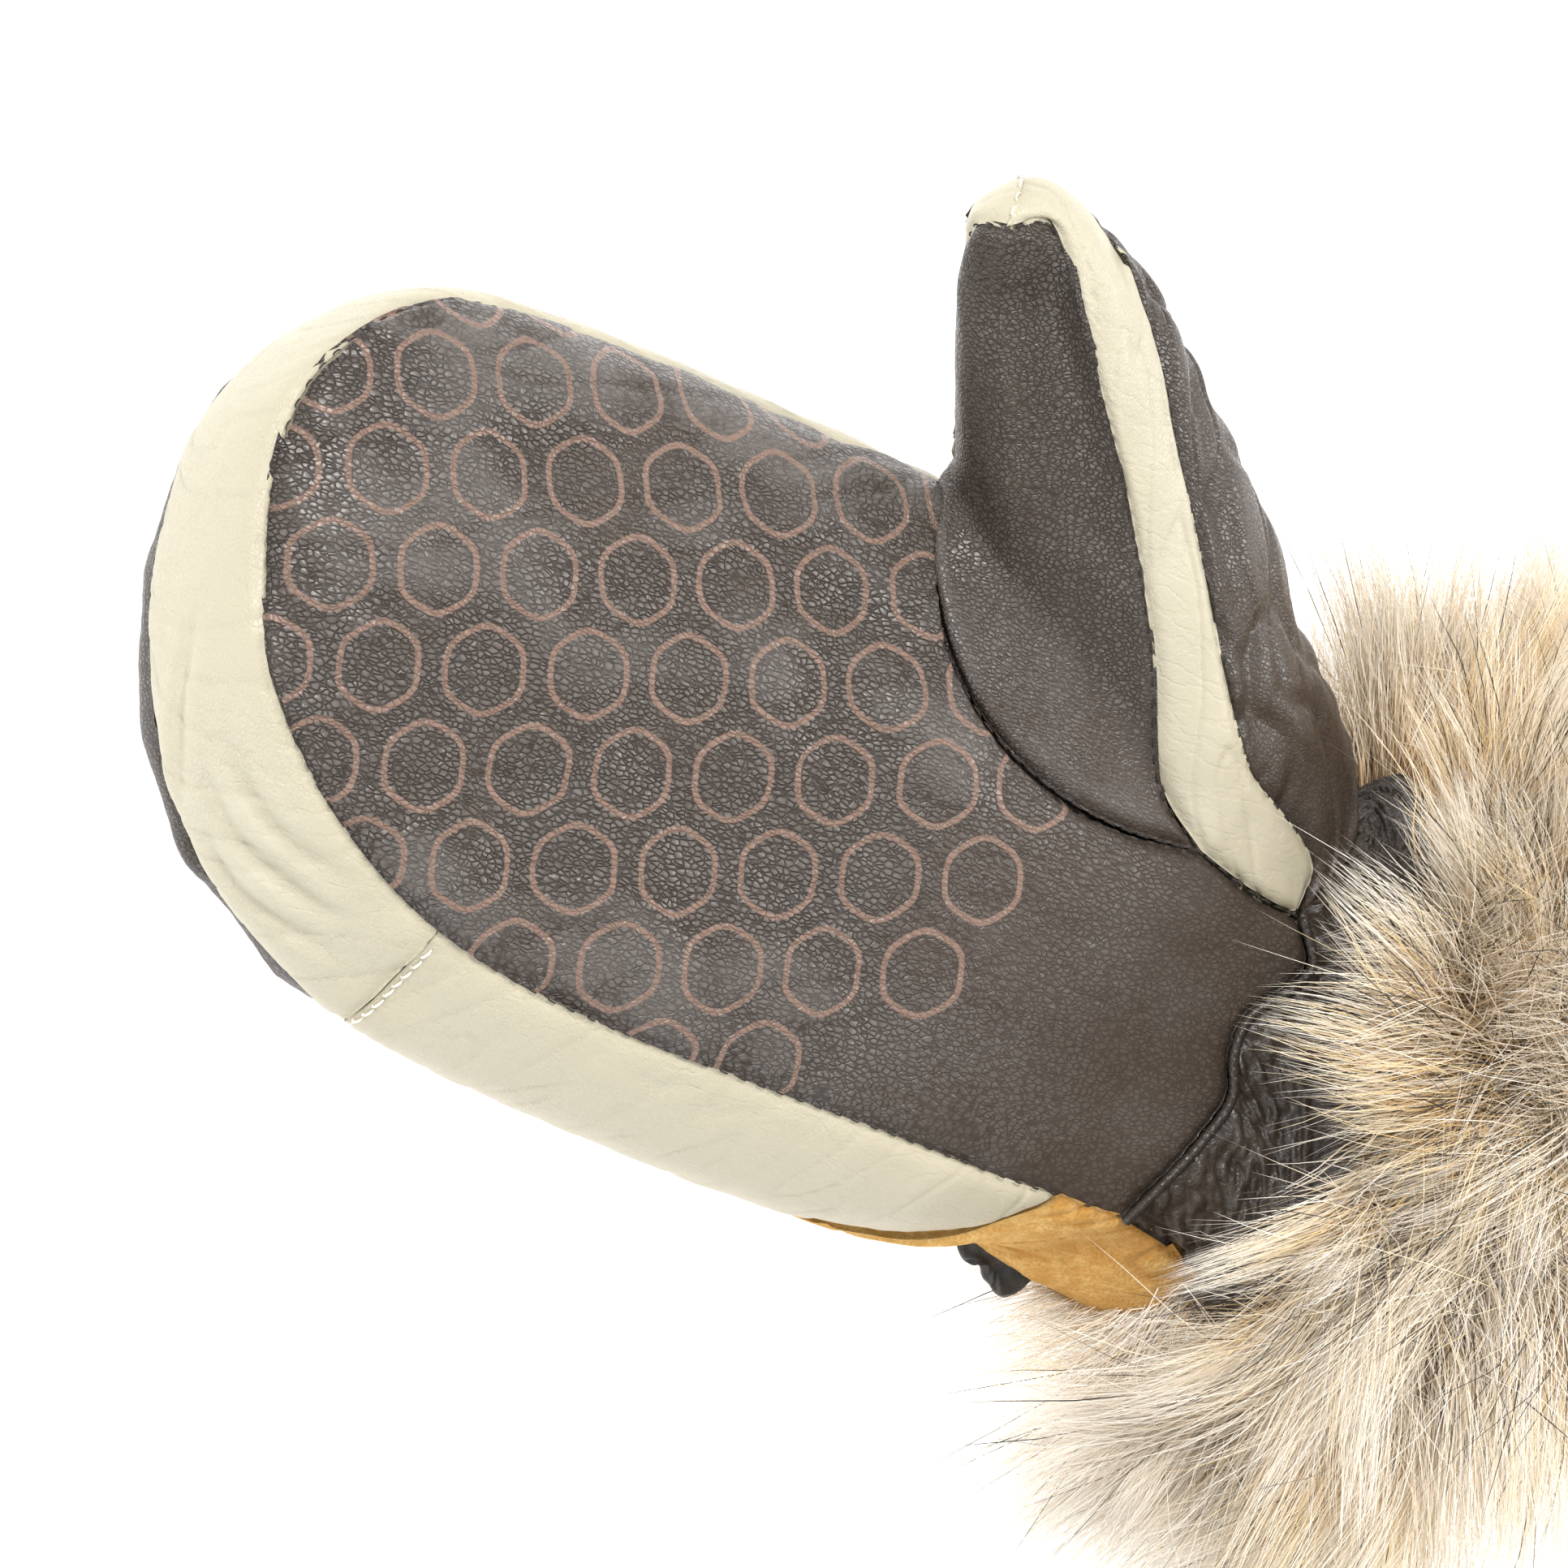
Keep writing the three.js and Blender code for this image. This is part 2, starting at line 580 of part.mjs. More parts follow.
function thumbStrips() {
  const outerRail = join(seams.palmToThumbStrip, thumbSeams.front, thumbTip.frontOuter);
  const outerEdge = join(thumbSeams.outerFromHeel, thumbTip.backOuter);
  const outerMiddle = evenly([
    PALM_TO_THUMB_STRIP[0], THUMB_STRIP_CREST,
    ...THUMB.map((row) => thumbPoint(row, (row.front + row.outer) / 2)),
    THUMB_TIP.outerCrest, THUMB_TIP.middle,
  ], outerRail.length - 1);
  const outer = [outerRail, outerMiddle, outerEdge]
    .map((line) => trimmed(line, STRIP_POINT_TRIM.thumbOuter));
  const innerMiddle = evenly([
    crotch.side,
    ...THUMB.slice(firstFree).map((row) => thumbPoint(row, (row.inner + row.back) / 2)),
    THUMB_TIP.innerCrest, THUMB_TIP.middle,
  ], THUMB_LENGTH_SEGMENTS + THUMB_TIP_SEGMENTS);
  const inner = [
    join(thumbSeams.inner, thumbTip.frontInner),
    innerMiddle,
    join(thumbSeams.back, thumbTip.backInner),
  ].map((line) => trimmed(line, STRIP_POINT_TRIM.thumbInner));
  return [
    wallMesh('thumb_strip_outer', folded(stripPoints(...outer)), COLOURS.cream_leather),
    wallMesh('thumb_strip_inner', folded(stripPoints(...inner)), COLOURS.cream_leather),
  ];
}

function thumbBack() {
  const corner = seams.thumbBase.length - 1 - THUMB_STRIP_END_SEGMENTS;
  const base = join(seams.thumbHeel, seams.thumbBase.slice(0, corner + 1));
  const behind = THUMB.slice(firstFree)
    .map((row) => thumbPoint(row, (row.outer + row.back + 360) / 2));
  const tip = join(thumbTip.backOuter, backwards(thumbTip.backInner));
  return wallMesh('thumb_back', panelPoints({
    low: thumbSeams.outerFromHeel,
    high: join(seams.thumbBase.slice(corner), thumbSeams.back),
    start: base,
    end: widen(tip, base.length - 1),
    crest: evenly([...THUMB_BACK_CREST, ...behind, THUMB_TIP.back], THUMB_CREST_SEGMENTS),
    crossing: thumbDirection,
    floor: true,
  }), COLOURS.dark_leather);
}

function suedeEdges() {
  const front = join(rimPart('back', 0, RIM_ROW.suedeMeetsBack), seams.backToSuede);
  const corner = cuffPoint(CUFF.front, SUEDE_FROM, 0).toArray();
  return {
    front,
    gatherSide: join(
      backwards(seams.heel),
      evenly([PALM_HEEL[0], SUEDE_TO_GATHER, corner], SUEDE_FRONT_SEGMENTS),
    ),
    thumbSide: join(
      backwards(seams.thumbBase),
      evenly([THUMB_BASE[0], cuffPoint(CUFF.front, SUEDE_TO, 0).toArray()], SUEDE_BACK_SEGMENTS),
    ),
    cuffSide: cuffArc(SUEDE_FROM, SUEDE_TO, front.length - 1),
  };
}

function suedePanel() {
  const edges = suedeEdges();
  return wallMesh('suede_panel', panelPoints({
    low: edges.gatherSide,
    high: edges.thumbSide,
    start: edges.front,
    end: edges.cuffSide,
    relief: (u, v) => SUEDE_BULGE.height * Math.sin(Math.PI * u ** SUEDE_BULGE.towardCuff)
      * Math.exp(-(((v - SUEDE_BULGE.middle) / SUEDE_BULGE.width) ** 2))
      * Math.min(1, v / SUEDE_BULGE.fade),
    floor: true,
  }), COLOURS.suede, { roughness: 0.95 });
}

// The shirred leather between the wrist and the cuff, pleated all along
function wristGather() {
  const edges = suedeEdges();
  const wristEdge = halved(join(seams.wrist, seams.thumbHeel));
  const segments = wristEdge.length - 1;
  const cuffEdge = cuffArc(SUEDE_FROM, SUEDE_TO - 360, segments);
  return wallMesh('wrist_gather', panelPoints({
    low: wristEdge,
    high: cuffEdge,
    start: widen(edges.gatherSide.slice(HEEL_SEGMENTS), GATHER_SEGMENTS),
    end: widen(edges.thumbSide.slice(-1 - SUEDE_BACK_SEGMENTS), GATHER_SEGMENTS),
    relief: (u, v, i) => {
      const hollow = -GATHER_HOLLOW * Math.sin(Math.PI * v) * Math.sqrt(Math.sin(Math.PI * u));
      const pleat = (i % 2 ? 1 : -1) * PLEAT_HEIGHT * Math.sin(Math.PI * v);
      return u > 0 && u < 1 ? hollow + pleat : 0;
    },
  }), COLOURS.gather);
}

function palmPiping() {
  const lifted = seams.wrist.map((point) => {
    return point.clone().addScaledVector(inward(point), -(PIPING_RADIUS + PIPING_GAP));
  });
  const circle = new THREE.Shape();
  circle.absarc(0, 0, PIPING_RADIUS, 0, Math.PI * 2);
  const path = new THREE.CatmullRomCurve3(lifted, false, 'centripetal');
  const geometry = new THREE.ExtrudeGeometry(circle, {
    steps: PIPING_SEGMENTS, curveSegments: 3, extrudePath: path,
  });
  const mesh = new THREE.Mesh(geometry, materialOf(COLOURS.dark_leather, 0.5));
  mesh.name = 'palm_piping';
  return mesh;
}

function strapTab() {
  const outline = new THREE.Shape();
  const [x, y, r] = [TAB.length / 2, TAB.height / 2, TAB.corner];
  outline.moveTo(-x + r, -y);
  outline.lineTo(x - r, -y).absarc(x - r, -y + r, r, -Math.PI / 2, 0);
  outline.lineTo(x, y - r).absarc(x - r, y - r, r, 0, Math.PI / 2);
  outline.lineTo(-x + r, y).absarc(-x + r, y - r, r, Math.PI / 2, Math.PI);
  outline.lineTo(-x, -y + r).absarc(-x + r, -y + r, r, Math.PI, Math.PI * 1.5);
  const geometry = new THREE.ExtrudeGeometry(outline, {
    depth: TAB.thickness, bevelEnabled: false, curveSegments: 4,
  });
  geometry.translate(0, 0, -TAB.thickness / 2);
  const mesh = new THREE.Mesh(geometry, materialOf(COLOURS.moulding, 0.4));
  mesh.name = 'strap_tab';
  mesh.quaternion.setFromRotationMatrix(new THREE.Matrix4().makeBasis(
    vec(TAB.along),
    vec(TAB.facing).cross(vec(TAB.along)).normalize(),
    vec(TAB.facing),
  ));
  mesh.position.set(...TAB.at);
  return mesh;
}

function cuffRing(y, growAt) {
  return Array.from({ length: CUFF.segments }, (_, s) => {
    const degrees = 360 * s / CUFF.segments;
    return cuffPoint(y, degrees, growAt(degrees));
  });
}

// The hollow band that carries the fur
function cuffBand() {
  const rings = [];
  for (const grow of [0, -WALL]) {
    for (let k = 0; k <= BAND_SEGMENTS; k++) {
      const place = grow ? BAND_SEGMENTS - k : k;
      const y = THREE.MathUtils.lerp(CUFF.front - CUFF.gap, CUFF.back, place / BAND_SEGMENTS);
      rings.push(cuffRing(y, () => grow));
    }
  }
  const positions = rings.flat().flatMap((point) => point.toArray());
  const triangles = [];
  for (let i = 0; i < rings.length; i++) {
    const next = (i + 1) % rings.length;
    for (let s = 0; s < CUFF.segments; s++) {
      const t = (s + 1) % CUFF.segments;
      const [low, high] = [i * CUFF.segments, next * CUFF.segments];
      triangles.push(low + s, low + t, high + t, low + s, high + t, high + s);
    }
  }
  return facingOut(meshOf('band', positions, triangles, COLOURS.fur, 1));
}

// A steady pseudo-random number from 0 to 1 for a lock
function scatter(index, salt) {
  const value = Math.sin(index * 12.9898 + salt * 78.233) * 43758.5453;
  return value - Math.floor(value);
}

// One tapering lock, curving from its root on the band and lying flat where it meets the floor
function furLock(ring, index, number) {
  const degrees = 360 * (index + ring.turn) / ring.locks;
  const root = cuffPoint(ring.y, degrees, -LOCK.rootDepth);
  const out = cuffPoint(ring.y, degrees, 1).sub(cuffPoint(ring.y, degrees, 0)).normalize();
  const around = new THREE.Vector3(out.z, 0, -out.x);
  const length = ring.length * THREE.MathUtils.lerp(LOCK.shortest, LOCK.longest, scatter(number, 1));
  const lean = ring.lean + LOCK.leanSpread * (scatter(number, 2) - 0.5);
  const swirl = LOCK.swirl * (scatter(number, 3) - 0.5);
  const forward = new THREE.Vector3(0, 1, 0);
  const steps = LOCK.radii.length - 1;
  let previous = root;
  const rings = LOCK.radii.map((radius, k) => {
    const share = k / steps;
    const centre = root.clone()
      .addScaledVector(out, length * share * (1 - LOCK.droop * share * Math.abs(lean)))
      .addScaledVector(forward, length * lean * share ** LOCK.leanCurve)
      .addScaledVector(around, length * swirl * share ** 2);
    const flatten = THREE.MathUtils.clamp((centre.z - 1) / radius, LOCK.leastThickness, 1);
    centre.z = Math.max(centre.z, radius * flatten + FLOOR_CLEARANCE);
    const heading = k ? centre.clone().sub(previous).normalize() : out;
    previous = centre;
    const side = new THREE.Vector3().crossVectors(heading, forward).normalize();
    const up = new THREE.Vector3().crossVectors(side, heading);
    return Array.from({ length: LOCK.sides }, (_, s) => {
      const angle = 2 * Math.PI * s / LOCK.sides;
      const point = centre.clone()
        .addScaledVector(side, radius * Math.cos(angle))
        .addScaledVector(up, radius * Math.sin(angle) * LOCK.flatness);
      point.z = Math.max(point.z, centre.z - radius * flatten);
      return point;
    });
  });
  return tubeSolid(rings);
}

function solidOf(mesh) {
  const geometry = mesh.geometry.clone();
  geometry.deleteAttribute('normal');
  const merged = mergeVertices(geometry);
  return new wasm.Manifold(new wasm.Mesh({
    numProp: 3,
    vertProperties: new Float32Array(merged.attributes.position.array),
    triVerts: new Uint32Array(merged.index.array),
  }));
}

// The rings of the space that the locks stay out of, from the wrist to past the end of the cuff
function passage() {
  const room = (degrees) => {
    const margin = WRIST_ROOM.suedeMargin;
    const besideSuede = degrees > SUEDE_FROM - margin && degrees < SUEDE_TO + margin;
    return besideSuede ? WRIST_ROOM.suede : WRIST_ROOM.gather;
  };
  const justInside = () => 0.01 - WALL;
  const stations = [
    { y: CUFF.front + WRIST_ROOM.reach, grow: room },
    { y: CUFF.front - WRIST_ROOM.gap, grow: room },
    { y: CUFF.front - WRIST_ROOM.gap - 0.01, grow: justInside },
    { y: CUFF.back - WRIST_ROOM.reach, grow: justInside },
  ];
  return stations.map(({ y, grow }) => {
    const place = THREE.MathUtils.clamp(y, CUFF.back, CUFF.front);
    return cuffRing(place, grow).map((point) => point.setY(y));
  });
}

// A solid through rings of points, with flat ends
function tubeSolid(rings) {
  const sides = rings[0].length;
  const positions = rings.flat().flatMap((point) => point.toArray());
  const triangles = [];
  for (let k = 0; k < rings.length - 1; k++) {
    for (let s = 0; s < sides; s++) {
      const t = (s + 1) % sides;
      const [low, high] = [k * sides, (k + 1) * sides];
      triangles.push(low + s, low + t, high + t, low + s, high + t, high + s);
    }
  }
  for (let s = 1; s < sides - 1; s++) {
    const top = (rings.length - 1) * sides;
    triangles.push(0, s + 1, s, top, top + s, top + s + 1);
  }
  return solidOf(facingOut(meshOf('tube', positions, triangles, COLOURS.fur, 1)));
}

// The fused locks without the pockets that they close in between them
function outerShell(solid) {
  return solid.decompose().reduce((best, shell) => (shell.volume() > best.volume() ? shell : best));
}

function furCuff() {
  let solid = solidOf(cuffBand());
  let number = 0;
  for (const ring of LOCK_RINGS) {
    for (let index = 0; index < ring.locks; index++) {
      solid = solid.add(furLock(ring, index, number));
      number += 1;
    }
  }
  solid = solid.subtract(tubeSolid(passage()));
  const result = outerShell(solid).getMesh();
  return meshOf('fur_cuff', Array.from(result.vertProperties), Array.from(result.triVerts), COLOURS.fur, 1);
}

const mitten = new THREE.Group();
mitten.add(
  palmPanel(), backPanel(), ...sideStrips(),
  thumbFront(), ...thumbStrips(), thumbBack(),
  suedePanel(), wristGather(), palmPiping(), strapTab(), furCuff(),
);

export default mitten;
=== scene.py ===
# A padded right-hand leather mitten with a deep long-pile cuff, lying palm up.
# Sizes are in millimetres, and each mesh is made in metres. +Y points to the fingertips, +X to the
# thumb side and +Z out of the palm. The origin is on the flat of the back.
import math

import bpy
import numpy as np
from mathutils import Matrix, Vector


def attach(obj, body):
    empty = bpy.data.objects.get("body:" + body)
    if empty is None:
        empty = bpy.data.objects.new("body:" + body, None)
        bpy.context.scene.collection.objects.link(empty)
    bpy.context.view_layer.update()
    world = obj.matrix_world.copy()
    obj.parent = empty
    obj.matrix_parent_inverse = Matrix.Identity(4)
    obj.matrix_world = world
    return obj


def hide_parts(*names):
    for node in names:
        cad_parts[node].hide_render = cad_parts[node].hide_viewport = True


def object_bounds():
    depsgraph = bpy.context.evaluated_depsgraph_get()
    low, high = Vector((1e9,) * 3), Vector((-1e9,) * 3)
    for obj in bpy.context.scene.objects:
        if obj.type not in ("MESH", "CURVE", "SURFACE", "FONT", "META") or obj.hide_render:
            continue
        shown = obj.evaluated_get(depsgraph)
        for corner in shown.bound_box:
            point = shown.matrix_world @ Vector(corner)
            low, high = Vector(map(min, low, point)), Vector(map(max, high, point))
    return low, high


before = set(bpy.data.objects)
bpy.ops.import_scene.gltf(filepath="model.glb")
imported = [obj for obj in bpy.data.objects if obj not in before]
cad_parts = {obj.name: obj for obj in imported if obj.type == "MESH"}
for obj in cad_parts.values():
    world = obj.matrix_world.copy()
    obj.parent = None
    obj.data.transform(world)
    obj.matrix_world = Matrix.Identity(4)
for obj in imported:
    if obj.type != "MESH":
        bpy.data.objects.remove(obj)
cad_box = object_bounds()

METRES = 0.001
WALL = 3.0
SEAM_INSET = {"depth": 0.05, "most": 0.4}
INNER_STEP = 4  # the lining has one face for this many of the outside, each way

# Seam tables

# The strip round the hand, from the wrist along the little-finger side, over the fingertips and
# down to the crotch: the seam to the palm, the middle of the strip, the seam to the back
RIM = [
    ((-44, -86.5, 36), (-44, -86.5, 36), (-44, -86.5, 36)),
    ((-44.5, -74, 37), (-50, -75, 31), (-54, -76, 20)),
    ((-44.5, -62, 37.5), (-54.5, -62, 28), (-58, -62, 14)),
    ((-44.6, -46, 38), (-57.5, -46, 25), (-59, -46, 10)),
    ((-44.8, -24, 38), (-59, -24, 23), (-58, -24, 8)),
    ((-44.8, 0, 38), (-58.6, 0, 23), (-57, 0, 8)),
    ((-43.6, 20, 38), (-57.6, 22, 23), (-55, 22, 8)),
    ((-40, 38, 38), (-54.5, 40.5, 24), (-53.6, 41.2, 15)),
    ((-34, 53, 39), (-49, 56.5, 25.5), (-48, 57.6, 17)),
    ((-24, 69, 41), (-39, 73, 28), (-38.8, 74.2, 19)),
    ((-11, 81, 42), (-24.3, 86.3, 31), (-25.2, 87.5, 21)),
    ((5, 88, 42.5), (-5, 95.3, 31.5), (-6, 96, 21)),
    ((20, 91.8, 43), (14, 98.7, 31), (13, 98.4, 20)),
    ((33.5, 91, 43.5), (30, 97.2, 31), (29.5, 95.8, 18)),
    ((45, 84.5, 42), (44, 89.3, 31), (43.5, 88.3, 18)),
    ((54, 75, 38), (55.3, 77.3, 29), (54.3, 76.8, 17)),
    ((59.3, 64, 33), (61.3, 64.5, 26), (59.8, 64.5, 14)),
    ((62, 45, 29), (64.8, 45, 22), (62.7, 45, 11)),
    ((63.2, 9, 27), (66.4, 8, 20), (63.7, 8, 9)),
    ((62.5, -29.5, 31), (65.5, -31.5, 22), (64, -33, 12)),
]
LAST_ROW = len(RIM) - 1
SUEDE_MEETS_BACK = 4
CROSS_SEAM = 7
PALM_TIP = (10, 15)
BACK_TIP = (9, 14)

PALM_HEEL = [(-43.5, -99, 36), (-43.9, -93, 36), (-44, -86.5, 36)]
PALM_WRIST = [
    (-43.5, -99, 36), (-36, -101.8, 39.5), (-27, -105.5, 42), (-18.4, -107.5, 44),
    (-11.8, -104.9, 45), (-5.3, -105, 46), (1.5, -110.5, 47), (7, -113.4, 47), (14, -109, 47),
]
PALM_TO_THUMB_STRIP = [(14, -109, 47), (14.5, -97, 49), (17.3, -85, 50)]
PALM_TO_THUMB = [
    (17.3, -85, 50), (16, -70, 49.5), (17.5, -56, 49), (22.5, -43, 47.5), (30, -33.5, 46),
    (39, -27.8, 43.5), (47, -26.3, 40), (55, -27.3, 35.5), (62.5, -29.5, 31),
]
PALM_HEIGHTS = [45.5, 46.5, 47.5, 47.5, 47, 46.5, 46, 46, 43.5]
BACK_HEIGHTS = [-2, -12, -20, -22, -18, -9, 4, 16]
SWELL = {"little_finger": 2.2, "index": 6, "back": 5}

# The thumb: sections with their middle, half width and half depth, and the angles round them of
# the seams at the front, outer, inner and back edges, in degrees from the outer side
THUMB = [dict(zip(("axis", "wide", "deep", "front", "outer", "inner", "back"), row)) for row in (
    ((38, -76, 32), 27, 23, 90, 54, 188, 222),
    ((55, -59, 41), 26, 21, 83, 54, 187, 222),
    ((71, -42, 50), 21, 18, 77, 43, 186, 220),
    ((85, -27, 59), 17.2, 15.5, 77, 27, 184, 220),
    ((95, -16.5, 65.5), 13.5, 12.5, 77, 12, 184, 222),
)]
THUMB_OUTWARD = np.array((0.4245, -0.7306, 0.5378))
THUMB_FORWARD = np.array((-0.584, 0.092, 0.805))
THUMB_TIP = {
    "front": (94.2, -2, 77.5), "middle": (103.5, -3.5, 74), "back": (105, -6, 66),
    "front_outer": (97.5, -9, 77.5), "front_inner": (94.4, 0.6, 70.4),
    "back_outer": (106.3, -13, 70), "back_inner": (99.8, -2.5, 61),
    "outer_crest": (103.6, -10, 76.3), "inner_crest": (97.8, 0, 68),
}
THUMB_FRONT_ROOT = (26, -40, 48)
THUMB_STRIP_CREST = (20, -97, 50.5)
THUMB_STRIP_HEEL = (23, -109.5, 47)
THUMB_HEEL = [
    (14, -109, 47), (26, -116.5, 45), (37, -121, 37), (41, -121, 25), (38, -116, 13), (34, -112, 6),
]
THUMB_BASE = [(34, -112, 6), (42, -99, 4), (50, -82, 3.5), (57, -63, 4), (62, -46, 7), (64, -33, 12)]
THUMB_BACK_CREST = [(42, -99, 4), (60, -84, 22), (76, -67, 37)]
BACK_TO_SUEDE = [
    (-58, -24, 8), (-48, -26, 1), (-30, -27, 0), (0, -28, 0), (30, -29, 0), (52, -31, 1), (64, -33, 12),
]
SUEDE_TO_GATHER = (-44.5, -114, 29)
SUEDE_BULGE = {"height": 18.5, "middle": 0.23, "width": 0.17, "toward_cuff": 2.3, "fade": 0.08}
# How far the suede swells out past the strip, by its place along the front edge
SUEDE_ROLL = [(0.04, 0), (0.12, 1.2), (0.3, 2.0), (0.42, 1.8), (0.46, 0)]

CUFF = {
    "front": -128.0, "back": -172.0, "centre_x": -3.0, "centre_z": 31.0,
    "half_width": 50.0, "half_height": 25.0, "flare": 1.1, "gap": 0.4,
}
SUEDE_FROM = 25.0
SUEDE_TO = 134.0

# The middle of the hand, which the inside of every wall faces, in rows of y, low x, high x and z
CORE_ROWS = [
    (-112, -24, 16, 27), (-90, -27, 22, 23), (-60, -34, 30, 22), (-30, -37, 40, 21),
    (0, -37, 43, 21), (30, -34, 43, 22), (55, -22, 40, 26), (74, 0, 36, 30),
]
CORE_ACROSS = 5
CORE_SHARPNESS = 6
CORE_THUMB = 9
CORE_CUFF = {"low": -20, "high": 14, "z": 30, "step": 12}

# Deep folds: middle, direction, half length, half width and depth
FOLDS = [
    ((-44, 62, 34), (0.5, 0.8, 0.2), 22, 5, 1.6),
    ((-52, 34, 30), (0.2, 0.9, 0.1), 20, 5, 1.3),
    ((-22, 30, 45), (0.8, 0.5, 0), 20, 7, 1.6),
    ((-26, -40, 46), (0.75, 0.6, 0), 18, 7, 1.3),
    ((33, -15, 45), (0.9, 0.35, 0), 22, 7, 1.4),
    ((64, -90, 40), (0.5, -0.6, -0.6), 26, 6, 2.4),
    ((78, -70, 45), (0.6, -0.5, -0.6), 24, 6, 2.2),
    ((90, -52, 52), (0.6, -0.4, -0.65), 20, 5, 1.8),
    ((-50, -104, 18), (0.2, -0.5, -0.8), 16, 5, 2.2),
]


# Curves. A line is an array of close points, DENSE for each facet that the seams are numbered by.

DENSE = 24
CLOSE = 64


def hermite(rows, spans, starts, ends, steps):
    """Points on the cubic through rows, with steps for each span."""
    t = np.linspace(0, 1, steps, endpoint=False)[None, :, None]
    p, q = rows[:-1, None], rows[1:, None]
    a, b = starts[:, None], ends[:, None]
    curve = p + a * t + (3 * (q - p) - 2 * a - b) * t**2 + (2 * (p - q) + a + b) * t**3
    return np.vstack([curve.reshape(spans * steps, -1), rows[-1:]])


def with_ends(rows):
    """The rows, and one more before and after them."""
    rows = np.array(rows, float)
    return rows, np.vstack([2 * rows[0] - rows[1], rows, 2 * rows[-1] - rows[-2]])


def rail(rows, facets_per_row=2):
    """A smooth line through the rows, at even steps of the row number."""
    rows, padded = with_ends(rows)
    slopes = (padded[2:] - padded[:-2]) / 2
    return hermite(rows, len(rows) - 1, slopes[:-1], slopes[1:], facets_per_row * DENSE)


def evenly(rows, facets):
    """A smooth line through the rows, at even steps of its length."""
    rows, padded = with_ends(rows)
    gaps = np.linalg.norm(np.diff(padded, axis=0), axis=1)[:, None] ** 0.5
    before, here, after = gaps[:-2], gaps[1:-1], gaps[2:]
    a, b, c, d = padded[:-3], padded[1:-2], padded[2:-1], padded[3:]
    starts = here * ((b - a) / before - (c - a) / (before + here) + (c - b) / here)
    ends = here * ((c - b) / here - (d - b) / (here + after) + (d - c) / after)
    points = hermite(rows, len(rows) - 1, starts, ends, CLOSE)
    run = lengths(points)
    return along(np.linspace(0, run[-1], facets * DENSE + 1), run, points)


def along(places, run, values):
    """The values of a line at places, where run is the place of each of its points."""
    return np.column_stack([np.interp(places, run, column) for column in values.T])


def lengths(points):
    """The length along a line at each of its points."""
    return np.concatenate([[0], np.cumsum(np.linalg.norm(np.diff(points, axis=0), axis=1))])


def join(*lines):
    return np.vstack([lines[0], *[line[1:] for line in lines[1:]]])


def resample(line, count):
    """The line at count + 1 places, at even steps of its own numbering."""
    return along(np.linspace(0, len(line) - 1, count + 1), np.arange(len(line)), line)


def trimmed(line, facets):
    """The line without its first part, still numbered from its new start."""
    return resample(line[int(facets * DENSE):], len(line) - 1)


RIM_LINES = {
    side: rail([row[k] for row in RIM]) for k, side in enumerate(("palm", "middle", "back"))
}


def span(from_row, to_row):
    return slice(from_row * 2 * DENSE, to_row * 2 * DENSE + 1)


def rim(side, from_row, to_row):
    return RIM_LINES[side][span(from_row, to_row)]


HEEL_FACETS = 2
TIP_FACETS = 2 * (PALM_TIP[1] - PALM_TIP[0])
THUMB_SEAM_FACETS = 12
THUMB_HEEL_FACETS = 6
THUMB_BASE_FACETS = 8
THUMB_FACETS = 8
THUMB_TIP_FACETS = 3
SEAMS = {
    "heel": evenly(PALM_HEEL, HEEL_FACETS),
    "wrist": evenly(PALM_WRIST, TIP_FACETS),
    "palm_to_thumb_strip": evenly(PALM_TO_THUMB_STRIP, HEEL_FACETS),
    "palm_to_thumb": evenly(PALM_TO_THUMB, THUMB_SEAM_FACETS),
    "back_to_suede": evenly(BACK_TO_SUEDE, TIP_FACETS),
    "thumb_heel": evenly(THUMB_HEEL, THUMB_HEEL_FACETS),
    "thumb_base": evenly(THUMB_BASE, THUMB_BASE_FACETS),
}


def thumb_point(section, degrees):
    angle = math.radians(degrees)
    return (
        np.array(section["axis"])
        + THUMB_OUTWARD * section["wide"] * math.cos(angle)
        + THUMB_FORWARD * section["deep"] * math.sin(angle)
    )


CROTCH = {"palm": RIM[-1][0], "middle": RIM[-1][1], "back": RIM[-1][2]}
FREE = 2  # the first thumb section whose inner side is clear of the hand
THUMB_SEAMS = {
    "front": evenly([PALM_TO_THUMB[0], *[thumb_point(r, r["front"]) for r in THUMB]], THUMB_FACETS),
    "outer": evenly(
        [PALM_TO_THUMB_STRIP[0], THUMB_STRIP_HEEL, *[thumb_point(r, r["outer"]) for r in THUMB]],
        THUMB_FACETS + HEEL_FACETS,
    ),
    "inner": evenly(
        [CROTCH["palm"], *[thumb_point(r, r["inner"]) for r in THUMB[FREE + 1:]]], THUMB_FACETS),
    "back": evenly([CROTCH["back"], *[thumb_point(r, r["back"]) for r in THUMB[FREE:]]], THUMB_FACETS),
}
THUMB_DIRECTION = np.array(THUMB[-1]["axis"], float) - np.array(THUMB[0]["axis"], float)
THUMB_DIRECTION /= np.linalg.norm(THUMB_DIRECTION)


def tip_arc(edge, way, end):
    last = THUMB[-1]
    return evenly([thumb_point(last, last[edge]), THUMB_TIP[way], THUMB_TIP[end]], THUMB_TIP_FACETS)


TIP_ARCS = {
    "front_outer": tip_arc("front", "front_outer", "front"),
    "front_inner": tip_arc("inner", "front_inner", "front"),
    "back_outer": tip_arc("outer", "back_outer", "back"),
    "back_inner": tip_arc("back", "back_inner", "back"),
}


